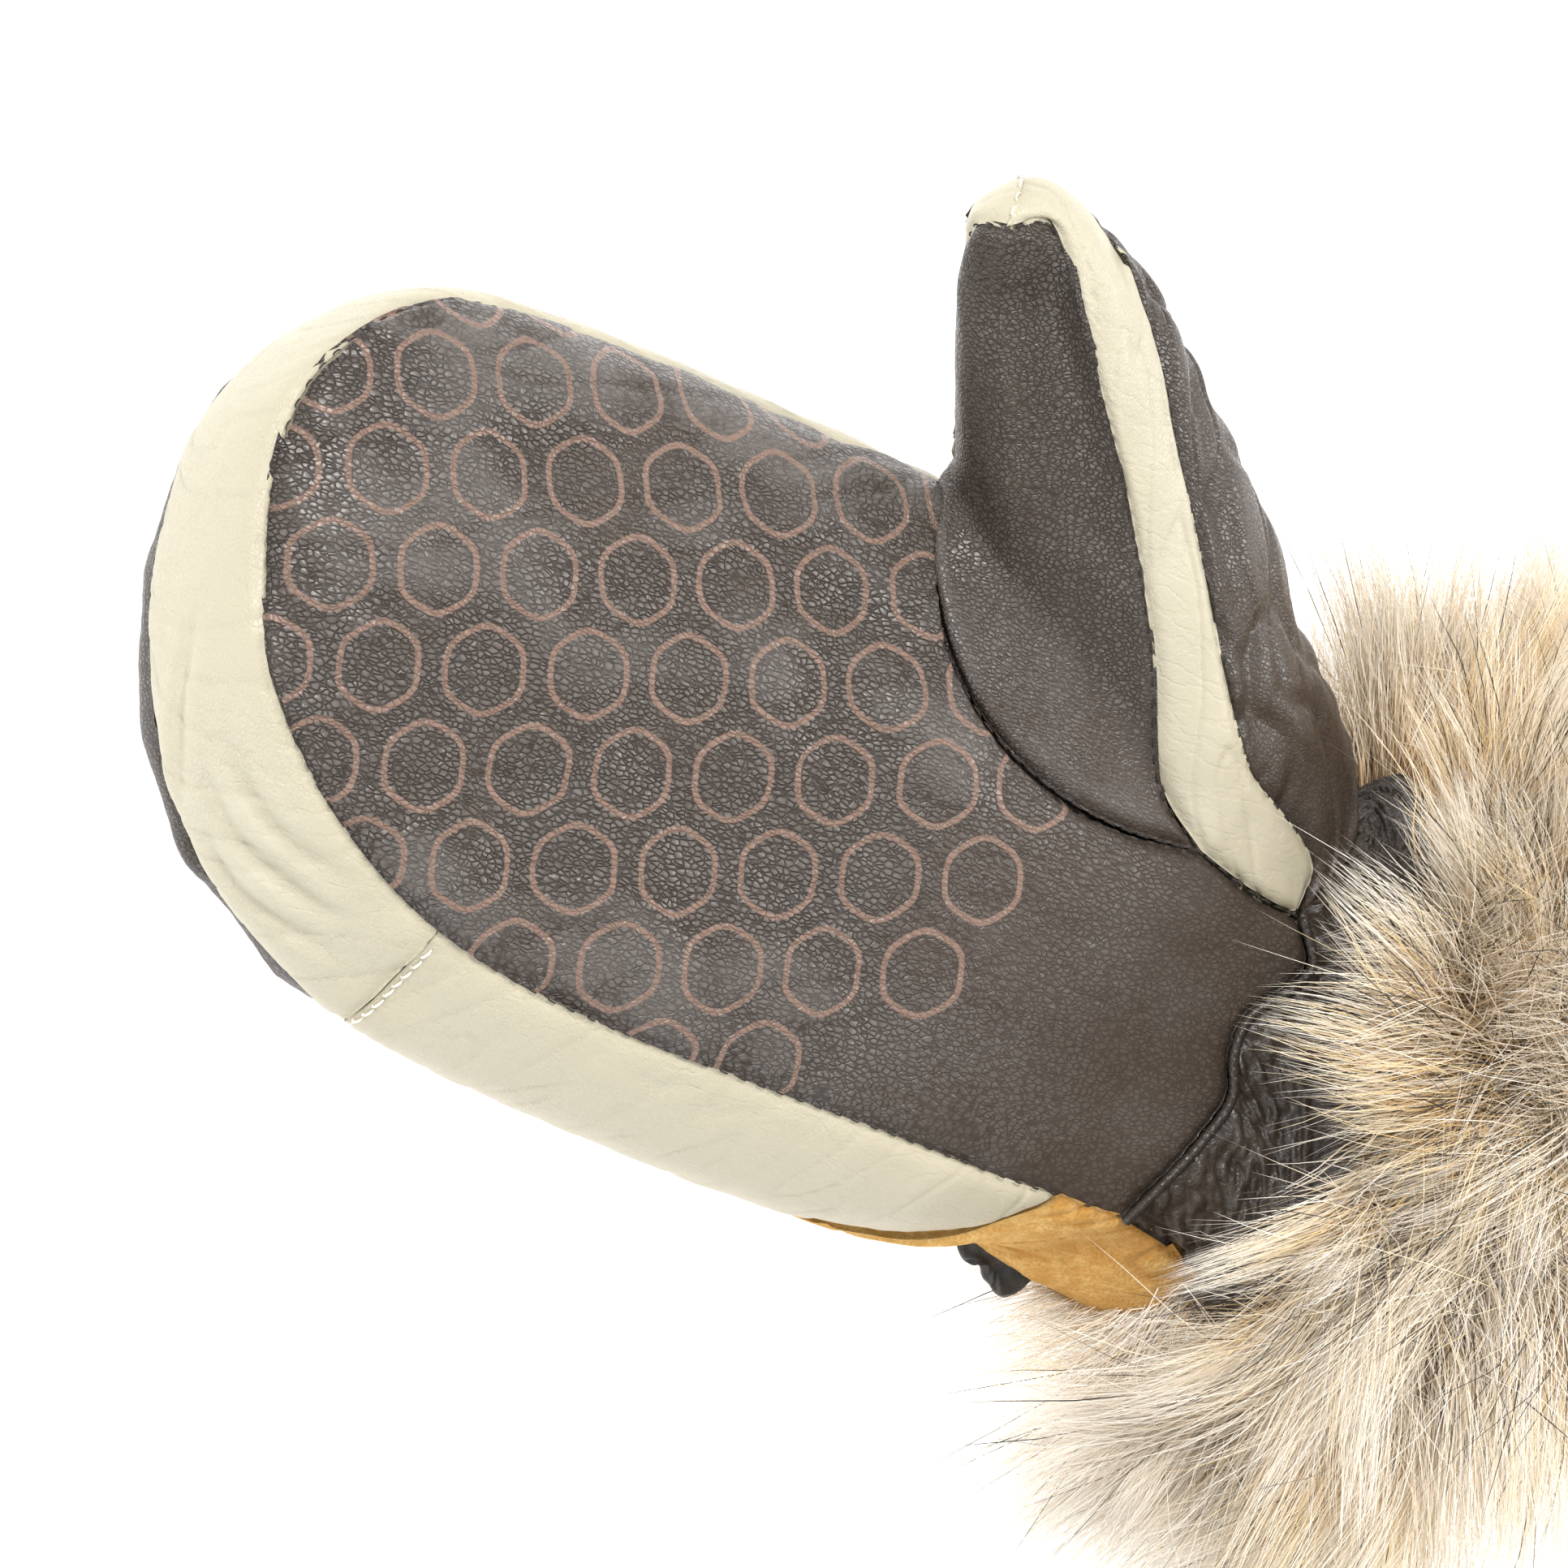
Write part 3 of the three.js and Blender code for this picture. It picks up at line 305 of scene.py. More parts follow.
def cuff_point(y, degrees, grow=0.0):
    """Points on the cuff's band, at degrees from the little-finger side towards the resting face."""
    y, degrees, grow = np.broadcast_arrays(y, degrees, grow)
    angle = np.radians(degrees)
    share = (y - CUFF["front"]) / (CUFF["back"] - CUFF["front"])
    scale = 1 + (CUFF["flare"] - 1) * share
    return np.stack([
        CUFF["centre_x"] - (CUFF["half_width"] * scale + grow) * np.cos(angle),
        y.astype(float),
        CUFF["centre_z"] - (CUFF["half_height"] * scale + grow) * np.sin(angle),
    ], axis=-1)


def cuff_arc(from_degrees, to_degrees, facets):
    return cuff_point(CUFF["front"], np.linspace(from_degrees, to_degrees, facets * DENSE + 1))


# Noise, the same on every run

NOISE_SIZE = 64
NOISE_HEIGHT = 1.4


def perlin(x, y, seed):
    """Smooth noise from -1 to 1 at points of a plane."""
    table = np.random.default_rng(seed).uniform(0, 2 * math.pi, (NOISE_SIZE, NOISE_SIZE))
    cell_x, cell_y = np.floor(x).astype(int), np.floor(y).astype(int)
    fx, fy = x - cell_x, y - cell_y
    ease = [f * f * f * (f * (f * 6 - 15) + 10) for f in (fx, fy)]

    def corner(dx, dy):
        angle = table[(cell_x + dx) % NOISE_SIZE, (cell_y + dy) % NOISE_SIZE]
        return np.cos(angle) * (fx - dx) + np.sin(angle) * (fy - dy)

    low = corner(0, 0) * (1 - ease[0]) + corner(1, 0) * ease[0]
    high = corner(0, 1) * (1 - ease[0]) + corner(1, 1) * ease[0]
    return NOISE_HEIGHT * (low * (1 - ease[1]) + high * ease[1])


def ripples(surface, heading, spacing, run, seed):
    """Long waves on a panel's own plane: heading in degrees, spacing across and run along them."""
    angle = math.radians(heading)
    ahead = surface[..., 0] * math.cos(angle) + surface[..., 1] * math.sin(angle)
    aside = -surface[..., 0] * math.sin(angle) + surface[..., 1] * math.cos(angle)
    return perlin(ahead / run, aside / spacing, seed)


def hump(x, middle, width):
    """A bell from 0 to 1, with its top at the middle."""
    return np.exp(-(((x - middle) / width) ** 2))


def smooth_step(x):
    x = np.clip(x, 0, 1)
    return x * x * (3 - 2 * x)


def unit(arrows):
    return arrows / np.maximum(np.linalg.norm(arrows, axis=-1, keepdims=True), 1e-9)


# The core and the direction to it


def core_points():
    points = []
    for row, following in zip(np.array(CORE_ROWS, float), CORE_ROWS[1:]):
        for share in (0, 0.5):
            y, low, high, z = row + (following - row) * share
            points += [(x, y, z) for x in np.linspace(low, high, CORE_ACROSS)]
    points += list(evenly([THUMB[k]["axis"] for k in (0, 2, 4)], CORE_THUMB)[::DENSE])
    for y in np.arange(CUFF["front"], CUFF["back"], -CORE_CUFF["step"]):
        points += [(x, y, CORE_CUFF["z"]) for x in (CORE_CUFF["low"], CUFF["centre_x"], CORE_CUFF["high"])]
    return np.array(points, float)


CORE = core_points()


def inward(points):
    """The direction from each point to the core, smooth everywhere."""
    flat = points.reshape(-1, 3)
    target = np.zeros_like(flat)
    total = np.zeros(len(flat))
    for centre in CORE:
        weight = ((flat - centre) ** 2).sum(axis=1) ** (-CORE_SHARPNESS / 2)
        target += weight[:, None] * centre
        total += weight
    return unit(target / total[:, None] - flat).reshape(points.shape)


def folded(grid):
    """The grid with the deep folds pressed into it."""
    pressed = np.zeros(grid.shape[:-1])
    for middle, heading, length, width, depth in FOLDS:
        heading = unit(np.array(heading))
        offset = grid - np.array(middle)
        run = offset @ heading
        aside = np.linalg.norm(offset - run[..., None] * heading, axis=-1)
        pressed += depth * hump(run, 0, length) * hump(aside, 0, width)
    return grid + inward(grid) * pressed[..., None]


# Panels. A grid is an array of points, with rows along the panel and columns across it.

FLOOR_SOFTNESS = 0.4
FLOOR_GAP = 0.02
ALL_EDGES = ("low", "high", "start", "end")


def round_swell(v):
    return 4 * v * (1 - v)


def palm_swell(v):
    side = 2 * v - 1
    little = 1 - np.abs(np.minimum(side, 0)) ** SWELL["little_finger"]
    index = np.sqrt(1 - np.maximum(side, 0) ** SWELL["index"])
    return np.where(side < 0, little, index)


def back_swell(v):
    return 1 - np.abs(2 * v - 1) ** SWELL["back"]


def panel_grid(
    low, high, start, end, size, crest=None, crossing=None, heights=None, swell=round_swell, ramp=1.0,
):
    """A four-sided panel that swells between its edges to a crest line or to heights.

    ramp is the number of facets over which the swelling starts at each end.
    """
    nu, nv = size
    facets = (len(low) - 1) / DENSE
    low, high = (resample(line, nu)[:, None] for line in (low, high))
    start, end = (resample(line, nv)[None, :] for line in (start, end))
    u, v = np.linspace(0, 1, nu + 1)[:, None, None], np.linspace(0, 1, nv + 1)[None, :, None]
    first, last = ((1 - v) * low[k, 0] + v * high[k, 0] for k in (0, -1))
    corners = (1 - u) * first + u * last
    grid = low * (1 - v) + high * v + start * (1 - u) + end * u - corners
    middle = (grid[:, nv // 2] + grid[:, -1 - nv // 2]) / 2
    near_end = np.minimum(1, np.minimum(u, 1 - u)[:, 0] * facets / ramp)
    lift = np.zeros((nu + 1, 3))
    if crest is not None:
        lift = (resample(crest, nu) - middle) * near_end * (2 - near_end)
        lift -= (lift @ crossing)[:, None] * crossing
    elif heights is not None:
        tall = resample(rail(np.array(heights, float)[:, None]), nu)
        lift[:, 2] = (tall[:, 0] - middle[:, 2]) * (near_end * (2 - near_end))[:, 0]
    return folded(grid + lift[:, None] * swell(v))


def crowned(first, middle, last, v):
    """Places across a strip, at shares v from its first line to its last, crowned to the middle one."""
    return first * (1 - v) + last * v + (middle - (first + last) / 2) * round_swell(v)


def strip_grid(lines, size):
    nu, nv = size
    first, middle, last = (resample(line, nu)[:, None] for line in lines)
    return folded(crowned(first, middle, last, np.linspace(0, 1, nv + 1)[None, :, None]))


def above_floor(grid):
    """The grid, bent so that it comes down to the floor and not through it."""
    grid = grid.copy()
    grid[..., 2] = (grid[..., 2] + np.sqrt(grid[..., 2] ** 2 + FLOOR_SOFTNESS)) / 2
    return grid


def off_floor(grid, over, least=0):
    """1 where the grid is free of the floor, and less near it."""
    return np.clip(grid[..., 2] / over, least, 1)


def shares(size):
    """The share of the way along and across a grid, at each of its points."""
    return np.meshgrid(*[np.linspace(0, 1, count + 1) for count in size], indexing="ij")


def surface_of(grid):
    """Places on the panel's own plane, in millimetres: across it from its middle, and along it."""
    away = edge_distances(grid)
    side = away["low"]
    return np.stack([side - side[:, side.shape[1] // 2][:, None], away["start"]], axis=-1)


def edge_distances(grid):
    """The distance of each point to the low, high, start and end edges, along the panel."""
    start, low = (
        np.insert(np.cumsum(np.linalg.norm(np.diff(grid, axis=way), axis=2), axis=way), 0, 0, axis=way)
        for way in (0, 1)
    )
    return {"low": low, "high": low[:, -1:] - low, "start": start, "end": start[-1:] - start}


def outward_normals(grid):
    normal = unit(np.cross(np.gradient(grid, axis=0), np.gradient(grid, axis=1)))
    facing = np.sign((normal * -inward(grid)).sum(axis=2, keepdims=True))
    return normal * np.where(facing == 0, 1, facing)


SEAM_ROLL = {"depth": 1.15, "shallow": 0.55, "width": 1.7}
PUCKER = {"height": 0.2, "pitch": 3.7, "reach": 3.2, "steady": 0.6, "run": 11, "seed": 7}
PULL = {"height": 0.55, "pitch": 9.0, "run": 22.5, "reach": 11.0, "shift": 3.3}

# Waves on each panel: height, heading in degrees, spacing across and run along them, and seed. The
# strips' headings and seeds are counted from their own.
WAVES = {
    "palm": [(1.5, 118, 26, 60, 21), (0.8, 60, 14, 34, 22), (0.35, 100, 7, 20, 23)],
    "back": [(0.6, 80, 9, 22, 31)],
    "strip": [(0.4, 0, 10, 30, 1), (0.1, -12, 3.2, 14, 2)],
    "thumb_front": [(0.4, 85, 14, 40, 61)],
    "thumb_back": [(1.9, 62, 11, 36, 91), (0.6, 55, 5, 20, 92)],
    "suede": [(1.0, 20, 15, 40, 101), (0.35, 30, 7, 18, 102)],
}
# Narrow valleys where such waves cross zero: depth, the same four columns, and how narrow
VALLEYS = {
    "palm": [(0.45, 130, 16, 38, 24, 0.09)],
    "strip": [(0.32, 8, 7, 34, 3, 0.06)],
    "thumb_back": [(1.0, 66, 12, 30, 93, 0.1), (0.5, 58, 8, 34, 94, 0.08)],
    "suede": [(0.6, 150, 18, 26, 103, 0.08)],
}


def waves(grid, name, heading=0, seed=0):
    surface = surface_of(grid)
    relief = np.zeros(grid.shape[:2])
    for height, turn, spacing, run, own in WAVES[name]:
        relief += height * ripples(surface, heading + turn, spacing, run, seed + own)
    for depth, turn, spacing, run, own, width in VALLEYS.get(name, ()):
        relief -= depth * hump(ripples(surface, heading + turn, spacing, run, seed + own), 0, width)
    return relief


def seam_relief(grid, edges, seed, pull=1.0, pucker=1.0, shallow=()):
    """How a sewn edge rolls down into its seam, puckers at the stitches and pulls the leather.

    The shallow edges roll down only a little.
    """
    distances = edge_distances(grid)
    relief, rolled = np.zeros((2, *grid.shape[:2]))
    for number, edge in enumerate(edges):
        away = distances[edge]
        run = distances["start" if edge in ("low", "high") else "low"]
        roll = SEAM_ROLL["shallow" if edge in shallow else "depth"]
        rolled = np.maximum(rolled, roll * hump(away, 0, SEAM_ROLL["width"]))
        uneven = (1 - PUCKER["steady"]) * perlin(run / PUCKER["run"], away * 0, seed + PUCKER["seed"])
        stitch = np.cos(2 * math.pi * run / PUCKER["pitch"]) * (PUCKER["steady"] + uneven)
        relief += pucker * PUCKER["height"] * stitch * np.exp(-away / PUCKER["reach"])
        drawn = perlin(run / PULL["pitch"], away / PULL["run"] + PULL["shift"], seed + number)
        relief += pull * PULL["height"] * drawn * np.exp(-away / PULL["reach"])
    return relief - rolled


# Meshes


def put(name, data):
    """Adds an object to the scene."""
    made = bpy.data.objects.new(name, data)
    bpy.context.scene.collection.objects.link(made)
    return made


def mesh_object(name, points, faces, uvs=None, materials=(), face_materials=None, smooth=True):
    """An object from points in millimetres. uvs maps a name to one place per point."""
    mesh = bpy.data.meshes.new(name)
    mesh.from_pydata((np.asarray(points) * METRES).tolist(), [], faces)
    corners = np.empty(len(mesh.loops), int)
    mesh.loops.foreach_get("vertex_index", corners)
    for uv_name, places in (uvs or {}).items():
        layer = mesh.uv_layers.new(name=uv_name)
        layer.data.foreach_set("uv", np.asarray(places, np.float32)[corners].ravel())
    for material in materials:
        mesh.materials.append(material)
    if face_materials is not None:
        mesh.polygons.foreach_set("material_index", np.asarray(face_materials, np.int32))
    mesh.polygons.foreach_set("use_smooth", [smooth] * len(mesh.polygons))
    mesh.validate()
    mesh.update()
    if signed_volume(mesh) < 0:
        mesh.flip_normals()
    return put(name, mesh)


def signed_volume(mesh):
    mesh.calc_loop_triangles()
    points = np.empty(len(mesh.vertices) * 3)
    mesh.vertices.foreach_get("co", points)
    points = points.reshape(-1, 3)
    corners = np.empty(len(mesh.loop_triangles) * 3, int)
    mesh.loop_triangles.foreach_get("vertices", corners)
    a, b, c = (points[corners.reshape(-1, 3)[:, k]] for k in range(3))
    return (a * np.cross(b, c)).sum() / 6


def placed(piece, *nodes, slot, fill=None):
    """Puts a piece on the object in place of CAD nodes."""
    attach(piece, "root")
    if nodes:
        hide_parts(*nodes)


# Painted light on the leather: the height of relief that spans its painted highlight on crests and painted
# shade in hollows, and the reach of its painted shade beside a seam
PAINTED_LIGHT_SCALE = {"relief": 4, "seam": 3}


def panel(name, node, grid, relief, look, slot, fill=0.6):
    """A padded wall: the outside with its relief, a plainer lining, and the edge between them."""
    coarse = np.s_[::INNER_STEP, ::INNER_STEP]
    drawn = grid.copy()
    for sides in (drawn, drawn.swapaxes(0, 1)):
        for edge, beside in ((0, 1), (-1, -2)):
            sides[edge] = draw_in(sides[edge], sides[beside])
    outer = drawn + outward_normals(grid) * relief[..., None]
    outer[..., 2] = np.maximum(outer[..., 2], FLOOR_GAP)
    inner = drawn[coarse] + inward(drawn[coarse]) * WALL
    nearest = np.minimum.reduce(list(edge_distances(grid).values()))
    surface = surface_of(grid) * METRES
    # A map for painted light: the relief's height, for painted highlight on crests and painted shade in
    # hollows, and a seam's nearness, for painted shade beside it
    painted_light = np.stack([0.5 + relief / PAINTED_LIGHT_SCALE["relief"], np.exp(-nearest / PAINTED_LIGHT_SCALE["seam"])], axis=-1)
    uvs = {"surface": both(surface, surface[coarse]), "painted_light": both(painted_light, painted_light[coarse])}
    outside = np.arange(relief.size).reshape(relief.shape)
    inside = relief.size + np.arange(inner[..., 0].size).reshape(inner.shape[:2])
    lining = [face[::-1] for face in quads(inside)]
    border = []
    for edge in (np.s_[::-1, 0], np.s_[0], np.s_[:, -1], np.s_[-1, ::-1]):
        outer_line, inner_line = outside[edge], inside[edge]
        for k in range(len(inner_line) - 1):
            stretch = outer_line[k * INNER_STEP:(k + 1) * INNER_STEP + 1]
            border.append([*stretch[::-1].tolist(), int(inner_line[k]), int(inner_line[k + 1])])
    outside = quads(outside)
    kinds = [0] * len(outside) + [1] * len(lining) + [0] * len(border)
    looks = (LOOKS[look], LOOKS["lining"])
    piece = mesh_object(name, both(outer, inner), outside + lining + border, uvs, looks, kinds)
    placed(piece, node, slot=slot, fill=fill)


def both(outer, inner):
    return np.vstack([layer.reshape(-1, layer.shape[-1]) for layer in (outer, inner)])


def draw_in(edge, beside):
    step = beside - edge
    size = np.maximum(np.linalg.norm(step, axis=1, keepdims=True), 1e-6)
    return edge + step * np.minimum(SEAM_INSET["most"], SEAM_INSET["depth"] / size)


def quads(index):
    corners = (index[:-1, :-1], index[1:, :-1], index[1:, 1:], index[:-1, 1:])
    return np.stack([c.ravel() for c in corners], axis=1).tolist()


def closed(rings):
    """The faces of a tube of rings, with its two ends filled."""
    index = np.arange(len(rings) * len(rings[0])).reshape(len(rings), -1)
    return quads(np.hstack([index, index[:, :1]])) + [index[0].tolist(), index[-1, ::-1].tolist()]


def tube(line, radii, sides=8):
    """Points and faces of a closed round tube along a line."""
    line = np.asarray(line, float)
    heading = unit(np.gradient(line, axis=0))
    reference = np.array((0.02, 0.05, 1.0))
    side = unit(np.cross(heading, reference))
    up = np.cross(side, heading)
    angles = np.linspace(0, 2 * math.pi, sides, endpoint=False)
    ring = np.cos(angles)[None, :, None] * side[:, None] + np.sin(angles)[None, :, None] * up[:, None]
    points = line[:, None] + ring * np.asarray(radii, float).reshape(-1, 1, 1)
    return points.reshape(-1, 3), closed(points)


def joined(parts):
    """One list of points and faces from many."""
    points, faces, count = [], [], 0
    for part_points, part_faces in parts:
        points.append(part_points)
        faces += [[corner + count for corner in face] for face in part_faces]
        count += len(part_points)
    return np.vstack(points), faces


# Materials


class Field:
    """An output among a material's nodes, which takes part in sums, products and blends."""

    def __init__(self, tree, socket):
        self.tree, self.socket = tree, socket

    def node(self, kind, inputs, output=0, **settings):
        return Field(self.tree, add(self.tree, kind, inputs, **settings).outputs[output])

    def maths(self, operation, *values):
        return self.node("ShaderNodeMath", dict(enumerate(values)), operation=operation)

    def __add__(self, other):
        return self.maths("ADD", self, other)

    def __sub__(self, other):
        return self.maths("SUBTRACT", self, other)

    def __rsub__(self, other):
        return self.maths("SUBTRACT", other, self)

    def __mul__(self, other):
        return self.maths("MULTIPLY", self, other)

    def __abs__(self):
        return self.maths("ABSOLUTE", self)

    def vector(self, operation, *values):
        places = (0, 3) if operation == "SCALE" else (0, 1, 2)
        output = "Value" if operation in ("LENGTH", "DOT_PRODUCT") else "Vector"
        inputs = dict(zip(places, (self, *values)))
        return self.node("ShaderNodeVectorMath", inputs, output, operation=operation)

    def blend(self, first, second):
        """The first colour where this is 0, and the second where it is 1."""
        return self.node("ShaderNodeMix", {0: self, 6: first, 7: second}, 2, data_type="RGBA")

    def spread(self, low, high, to_low=0.0, to_high=1.0):
        return self.node("ShaderNodeMapRange", {
            "Value": self, "From Min": low, "From Max": high, "To Min": to_low, "To Max": to_high,
        }, "Result")

    def noise(self, scale, detail, output="Fac"):
        return self.node("ShaderNodeTexNoise", {"Vector": self, "Scale": scale, "Detail": detail}, output)

    def cells(self, feature):
        inputs = {"Vector": self, "Scale": 1.0, "Randomness": 1.0}
        return self.node("ShaderNodeTexVoronoi", inputs, "Distance", feature=feature)

    def axis(self, number):
        return self.node("ShaderNodeSeparateXYZ", {"Vector": self}, number)


def plug(tree, socket, value):
    """Gives a socket a constant, or a field."""
    if isinstance(value, Field):
        tree.links.new(value.socket, socket)
    else:
        socket.default_value = value


def add(tree, kind, inputs=None, **settings):
    made = tree.nodes.new(kind)
    for name, value in settings.items():
        setattr(made, name, value)
    for name, value in (inputs or {}).items():
        plug(tree, made.inputs[name], value)
    return made


def channels(tree, name):
    """The two values that a UV map carries."""
    source = Field(tree, add(tree, "ShaderNodeUVMap", uv_map=name).outputs[0])
    parts = add(tree, "ShaderNodeSeparateXYZ", {"Vector": source})
    return [Field(tree, parts.outputs[number]) for number in (0, 1)]


def srgb(*levels):
    """A colour given as it shows on a screen, 0 to 255."""
    return (*[((c / 255 + 0.055) / 1.055) ** 2.4 if c > 10 else c / 255 / 12.92 for c in levels], 1.0)


def new_material(name, **constants):
    material = bpy.data.materials.new(name)
    material.use_nodes = True
    shader = material.node_tree.nodes["Principled BSDF"]
    for socket, value in constants.items():
        shader.inputs[socket.replace("_", " ")].default_value = value
    return material, material.node_tree, shader


def on_object(tree):
    return Field(tree, add(tree, "ShaderNodeTexCoord").outputs["Object"])


def finish(shader, tone, height, depth, strength=1.0, rough=None):
    """Gives a shader its colour, its bumps, depth millimetres high, and its roughness."""
    bump = {"Height": height, "Strength": strength, "Distance": depth * METRES}
    plug(tone.tree, shader.inputs["Base Color"], tone)
    plug(tone.tree, shader.inputs["Normal"], tone.node("ShaderNodeBump", bump))
    if rough:
        plug(tone.tree, shader.inputs["Roughness"], rough)


def leather(
    name, colour, light, dark, grain, depth, rough,
    stretch=(1, 1, 1), wrinkle=0.2, valley_shade=1.0, top_highlight=0.9, decorate=None,
):
    """Pebbled leather. grain is the size of a pebble and depth its height, in millimetres.

    The two shares after wrinkle set how dark the painted shade in the valleys between the pebbles is,
    and how light the painted highlight on their tops; light is the colour of the painted highlights and
    sheen, and dark that of the painted shade.
    """
    material, tree, shader = new_material(name, Specular_IOR_Level=0.5)
    place = on_object(tree)
    scaled = place.vector("MULTIPLY", tuple(1 / METRES / grain * k for k in stretch))
    bent = scaled.vector("ADD", scaled.noise(0.5, 1.0, "Color").vector("SCALE", 0.7))
    valley = bent.cells("DISTANCE_TO_EDGE").spread(0.0, 0.16)
    pebble = valley * bent.cells("F1").spread(0.9, 0.0, 0.45, 1.0)
    broad = place.noise(45.0, 3.0)
    lines = place.vector("MULTIPLY", (260.0, 90.0, 200.0)).noise(1.0, 3.0)
    crease = abs(lines - 0.5).spread(0.0, 0.05)
    patchy = broad.spread(0.3, 0.65, 0.5, 1.0) * place.axis(1).spread(-0.085, -0.02, 0.35, 1.0)
    height = pebble * patchy + scaled.noise(3.0, 2.0) * 0.12 + crease * wrinkle
    # From the map for painted light: crest is the relief's height and seam a seam's nearness
    crest, seam = channels(tree, "painted_light")
    # Painted shade in the valleys between the pebbles, towards dark
    tone = ((1.0 - valley) * (patchy * valley_shade)).blend(colour, dark)
    # Painted sheen: broad random patches lightened towards light, the painted highlight colour
    tone = broad.spread(0.45, 0.75, 0.0, 0.2).blend(tone, light)
    # Painted highlight on the pebble tops, towards light
    tone = (patchy * pebble.spread(0.5, 0.95, 0.0, top_highlight)).blend(tone, light)
    # Painted highlight on the crests of the relief, towards light
    tone = crest.spread(0.52, 0.72, 0.0, 0.4).blend(tone, light)
    # Painted shade beside the seams, towards dark
    tone = (seam * 0.35).blend(tone, dark)
    if decorate:
        tone = decorate(tree, tone, pebble)
    finish(shader, tone, height, depth, rough=pebble.spread(0.0, 1.0, rough + 0.18, rough))
    return material


# The print on the palm: outlined cells in staggered rows. The rows end on a slant towards the wrist.
PRINT = {
    "pitch": 18.0, "radius": 6.7, "line": 1.0, "corner": 7.0, "end": -54.0, "slant": -0.43, "soft": 0.12,
    "turn": 12.0, "ink": srgb(134, 108, 94),
}


def turned(x, y, degrees):
    angle = math.radians(degrees)
    return (x * math.cos(angle) - y * math.sin(angle), x * math.sin(angle) + y * math.cos(angle), 0)


def printed(tree, tone, pebble):
    """Draws the outlines over a leather's tone."""
    place = on_object(tree)
    place = place.node(
        "ShaderNodeVectorRotate", {"Vector": place, "Angle": math.radians(PRINT["turn"])},
        rotation_type="Z_AXIS")
    cell = PRINT["pitch"] * METRES
    tall = math.sqrt(3) / 2
    spot = place.vector("MULTIPLY", (1 / cell, 1 / cell, 0))
    first, second = (
        spot.vector("ADD", shift).vector("WRAP", (0.5, tall, 0.5), (-0.5, -tall, -0.5))
        for shift in ((0, 0, 0), (0.5, tall, 0))
    )
    nearer = second.maths("LESS_THAN", second.vector("LENGTH"), first.vector("LENGTH"))
    local = spot.node("ShaderNodeMix", {0: nearer, 4: first, 5: second}, 1, data_type="VECTOR")
    powers = [
        local.maths("POWER", abs(local.vector("DOT_PRODUCT", turned(1, 0, degrees))), PRINT["corner"])
        for degrees in (0, 60, 120)
    ]
    reach = local.maths("POWER", powers[0] + powers[1] + powers[2], 1 / PRINT["corner"])
    off = abs(reach - PRINT["radius"] / PRINT["pitch"])
    half, soft = PRINT["line"] / 2 / PRINT["pitch"], PRINT["soft"] / PRINT["pitch"]
    towards = turned(-PRINT["slant"], 1.0, PRINT["turn"])
    rows = spot.vector("SUBTRACT", local).vector("DOT_PRODUCT", towards)
    within = rows.maths("GREATER_THAN", rows, PRINT["end"] / PRINT["pitch"])
    ink = off.spread(half + soft, half - soft) * within * pebble.spread(0.0, 0.3, 0.4, 0.9)
    return ink.blend(tone, PRINT["ink"])


def suede_material():
    material, tree, shader = new_material(
        "suede", Roughness=0.95, Sheen_Weight=0.6, Sheen_Roughness=0.5, Specular_IOR_Level=0.15,
        Sheen_Tint=srgb(255, 214, 140))
    place = on_object(tree)
    nap, brushed, broad = place.noise(1500.0, 4.0), place.noise(320.0, 5.0), place.noise(38.0, 3.0)
    tone = broad.spread(0.35, 0.7).blend(srgb(192, 142, 74), srgb(216, 174, 104))
    tone = brushed.spread(0.42, 0.62, 0.0, 0.6).blend(tone, srgb(234, 200, 134))
    tone = nap.spread(0.62, 0.38, 0.0, 0.5).blend(tone, srgb(172, 120, 54))
    # Painted shade in the hollows of the suede's relief
    tone = channels(tree, "painted_light")[0].spread(0.47, 0.3, 0.0, 0.6).blend(tone, srgb(168, 114, 48))
    finish(shader, tone, nap + brushed * 1.4, 0.32)
    return material


def speckled(name, colour, light, scale, detail=4.0, rough=0.95, shine=0.1, depth=0.5, strength=1.0):
    """A fleece or a thread: two tones and bumps from one noise."""
    material, tree, shader = new_material(name, Roughness=rough, Specular_IOR_Level=shine)
    speck = on_object(tree).noise(scale, detail)
    finish(shader, speck.spread(0.35, 0.65).blend(colour, light), speck, depth, strength)
    return material


def moulding_material():
    material, tree, shader = new_material("moulding", Specular_IOR_Level=0.4)
    place = on_object(tree)
    speck, scuff = place.noise(1400.0, 3.0), place.noise(260.0, 4.0)
    tone = scuff.spread(0.5, 0.7).blend(srgb(42, 42, 42), srgb(74, 72, 70))
    finish(shader, tone, speck, 0.12, 0.6, rough=scuff.spread(0.3, 0.7, 0.38, 0.6))
    return material


# The tones of a strand: the place along it, and red, green and blue. The darker tones at the root are
# partly the pile's own and partly painted shade deep in the pile.
STRAND_TONES = {
    "cream": [(0.0, 158, 126, 90), (0.2, 210, 184, 146), (0.5, 232, 216, 188), (1.0, 247, 242, 233)],
    "gold": [(0.0, 160, 116, 66), (0.2, 212, 170, 104), (0.6, 234, 202, 142), (1.0, 243, 230, 200)],
    "black": [(0.0, 150, 130, 106), (0.45, 206, 190, 164), (0.58, 54, 48, 44), (1.0, 18, 17, 17)],
}


def strand_tone(run, stops):
    """The colour at each place along a strand."""
    made = add(run.tree, "ShaderNodeValToRGB", {"Fac": run})
    elements = made.color_ramp.elements
    while len(elements) < len(stops):
        elements.new(0.5)
    for element, (place, *levels) in zip(elements, stops):
        element.position, element.color = place, srgb(*levels)
    return Field(run.tree, made.outputs["Color"])


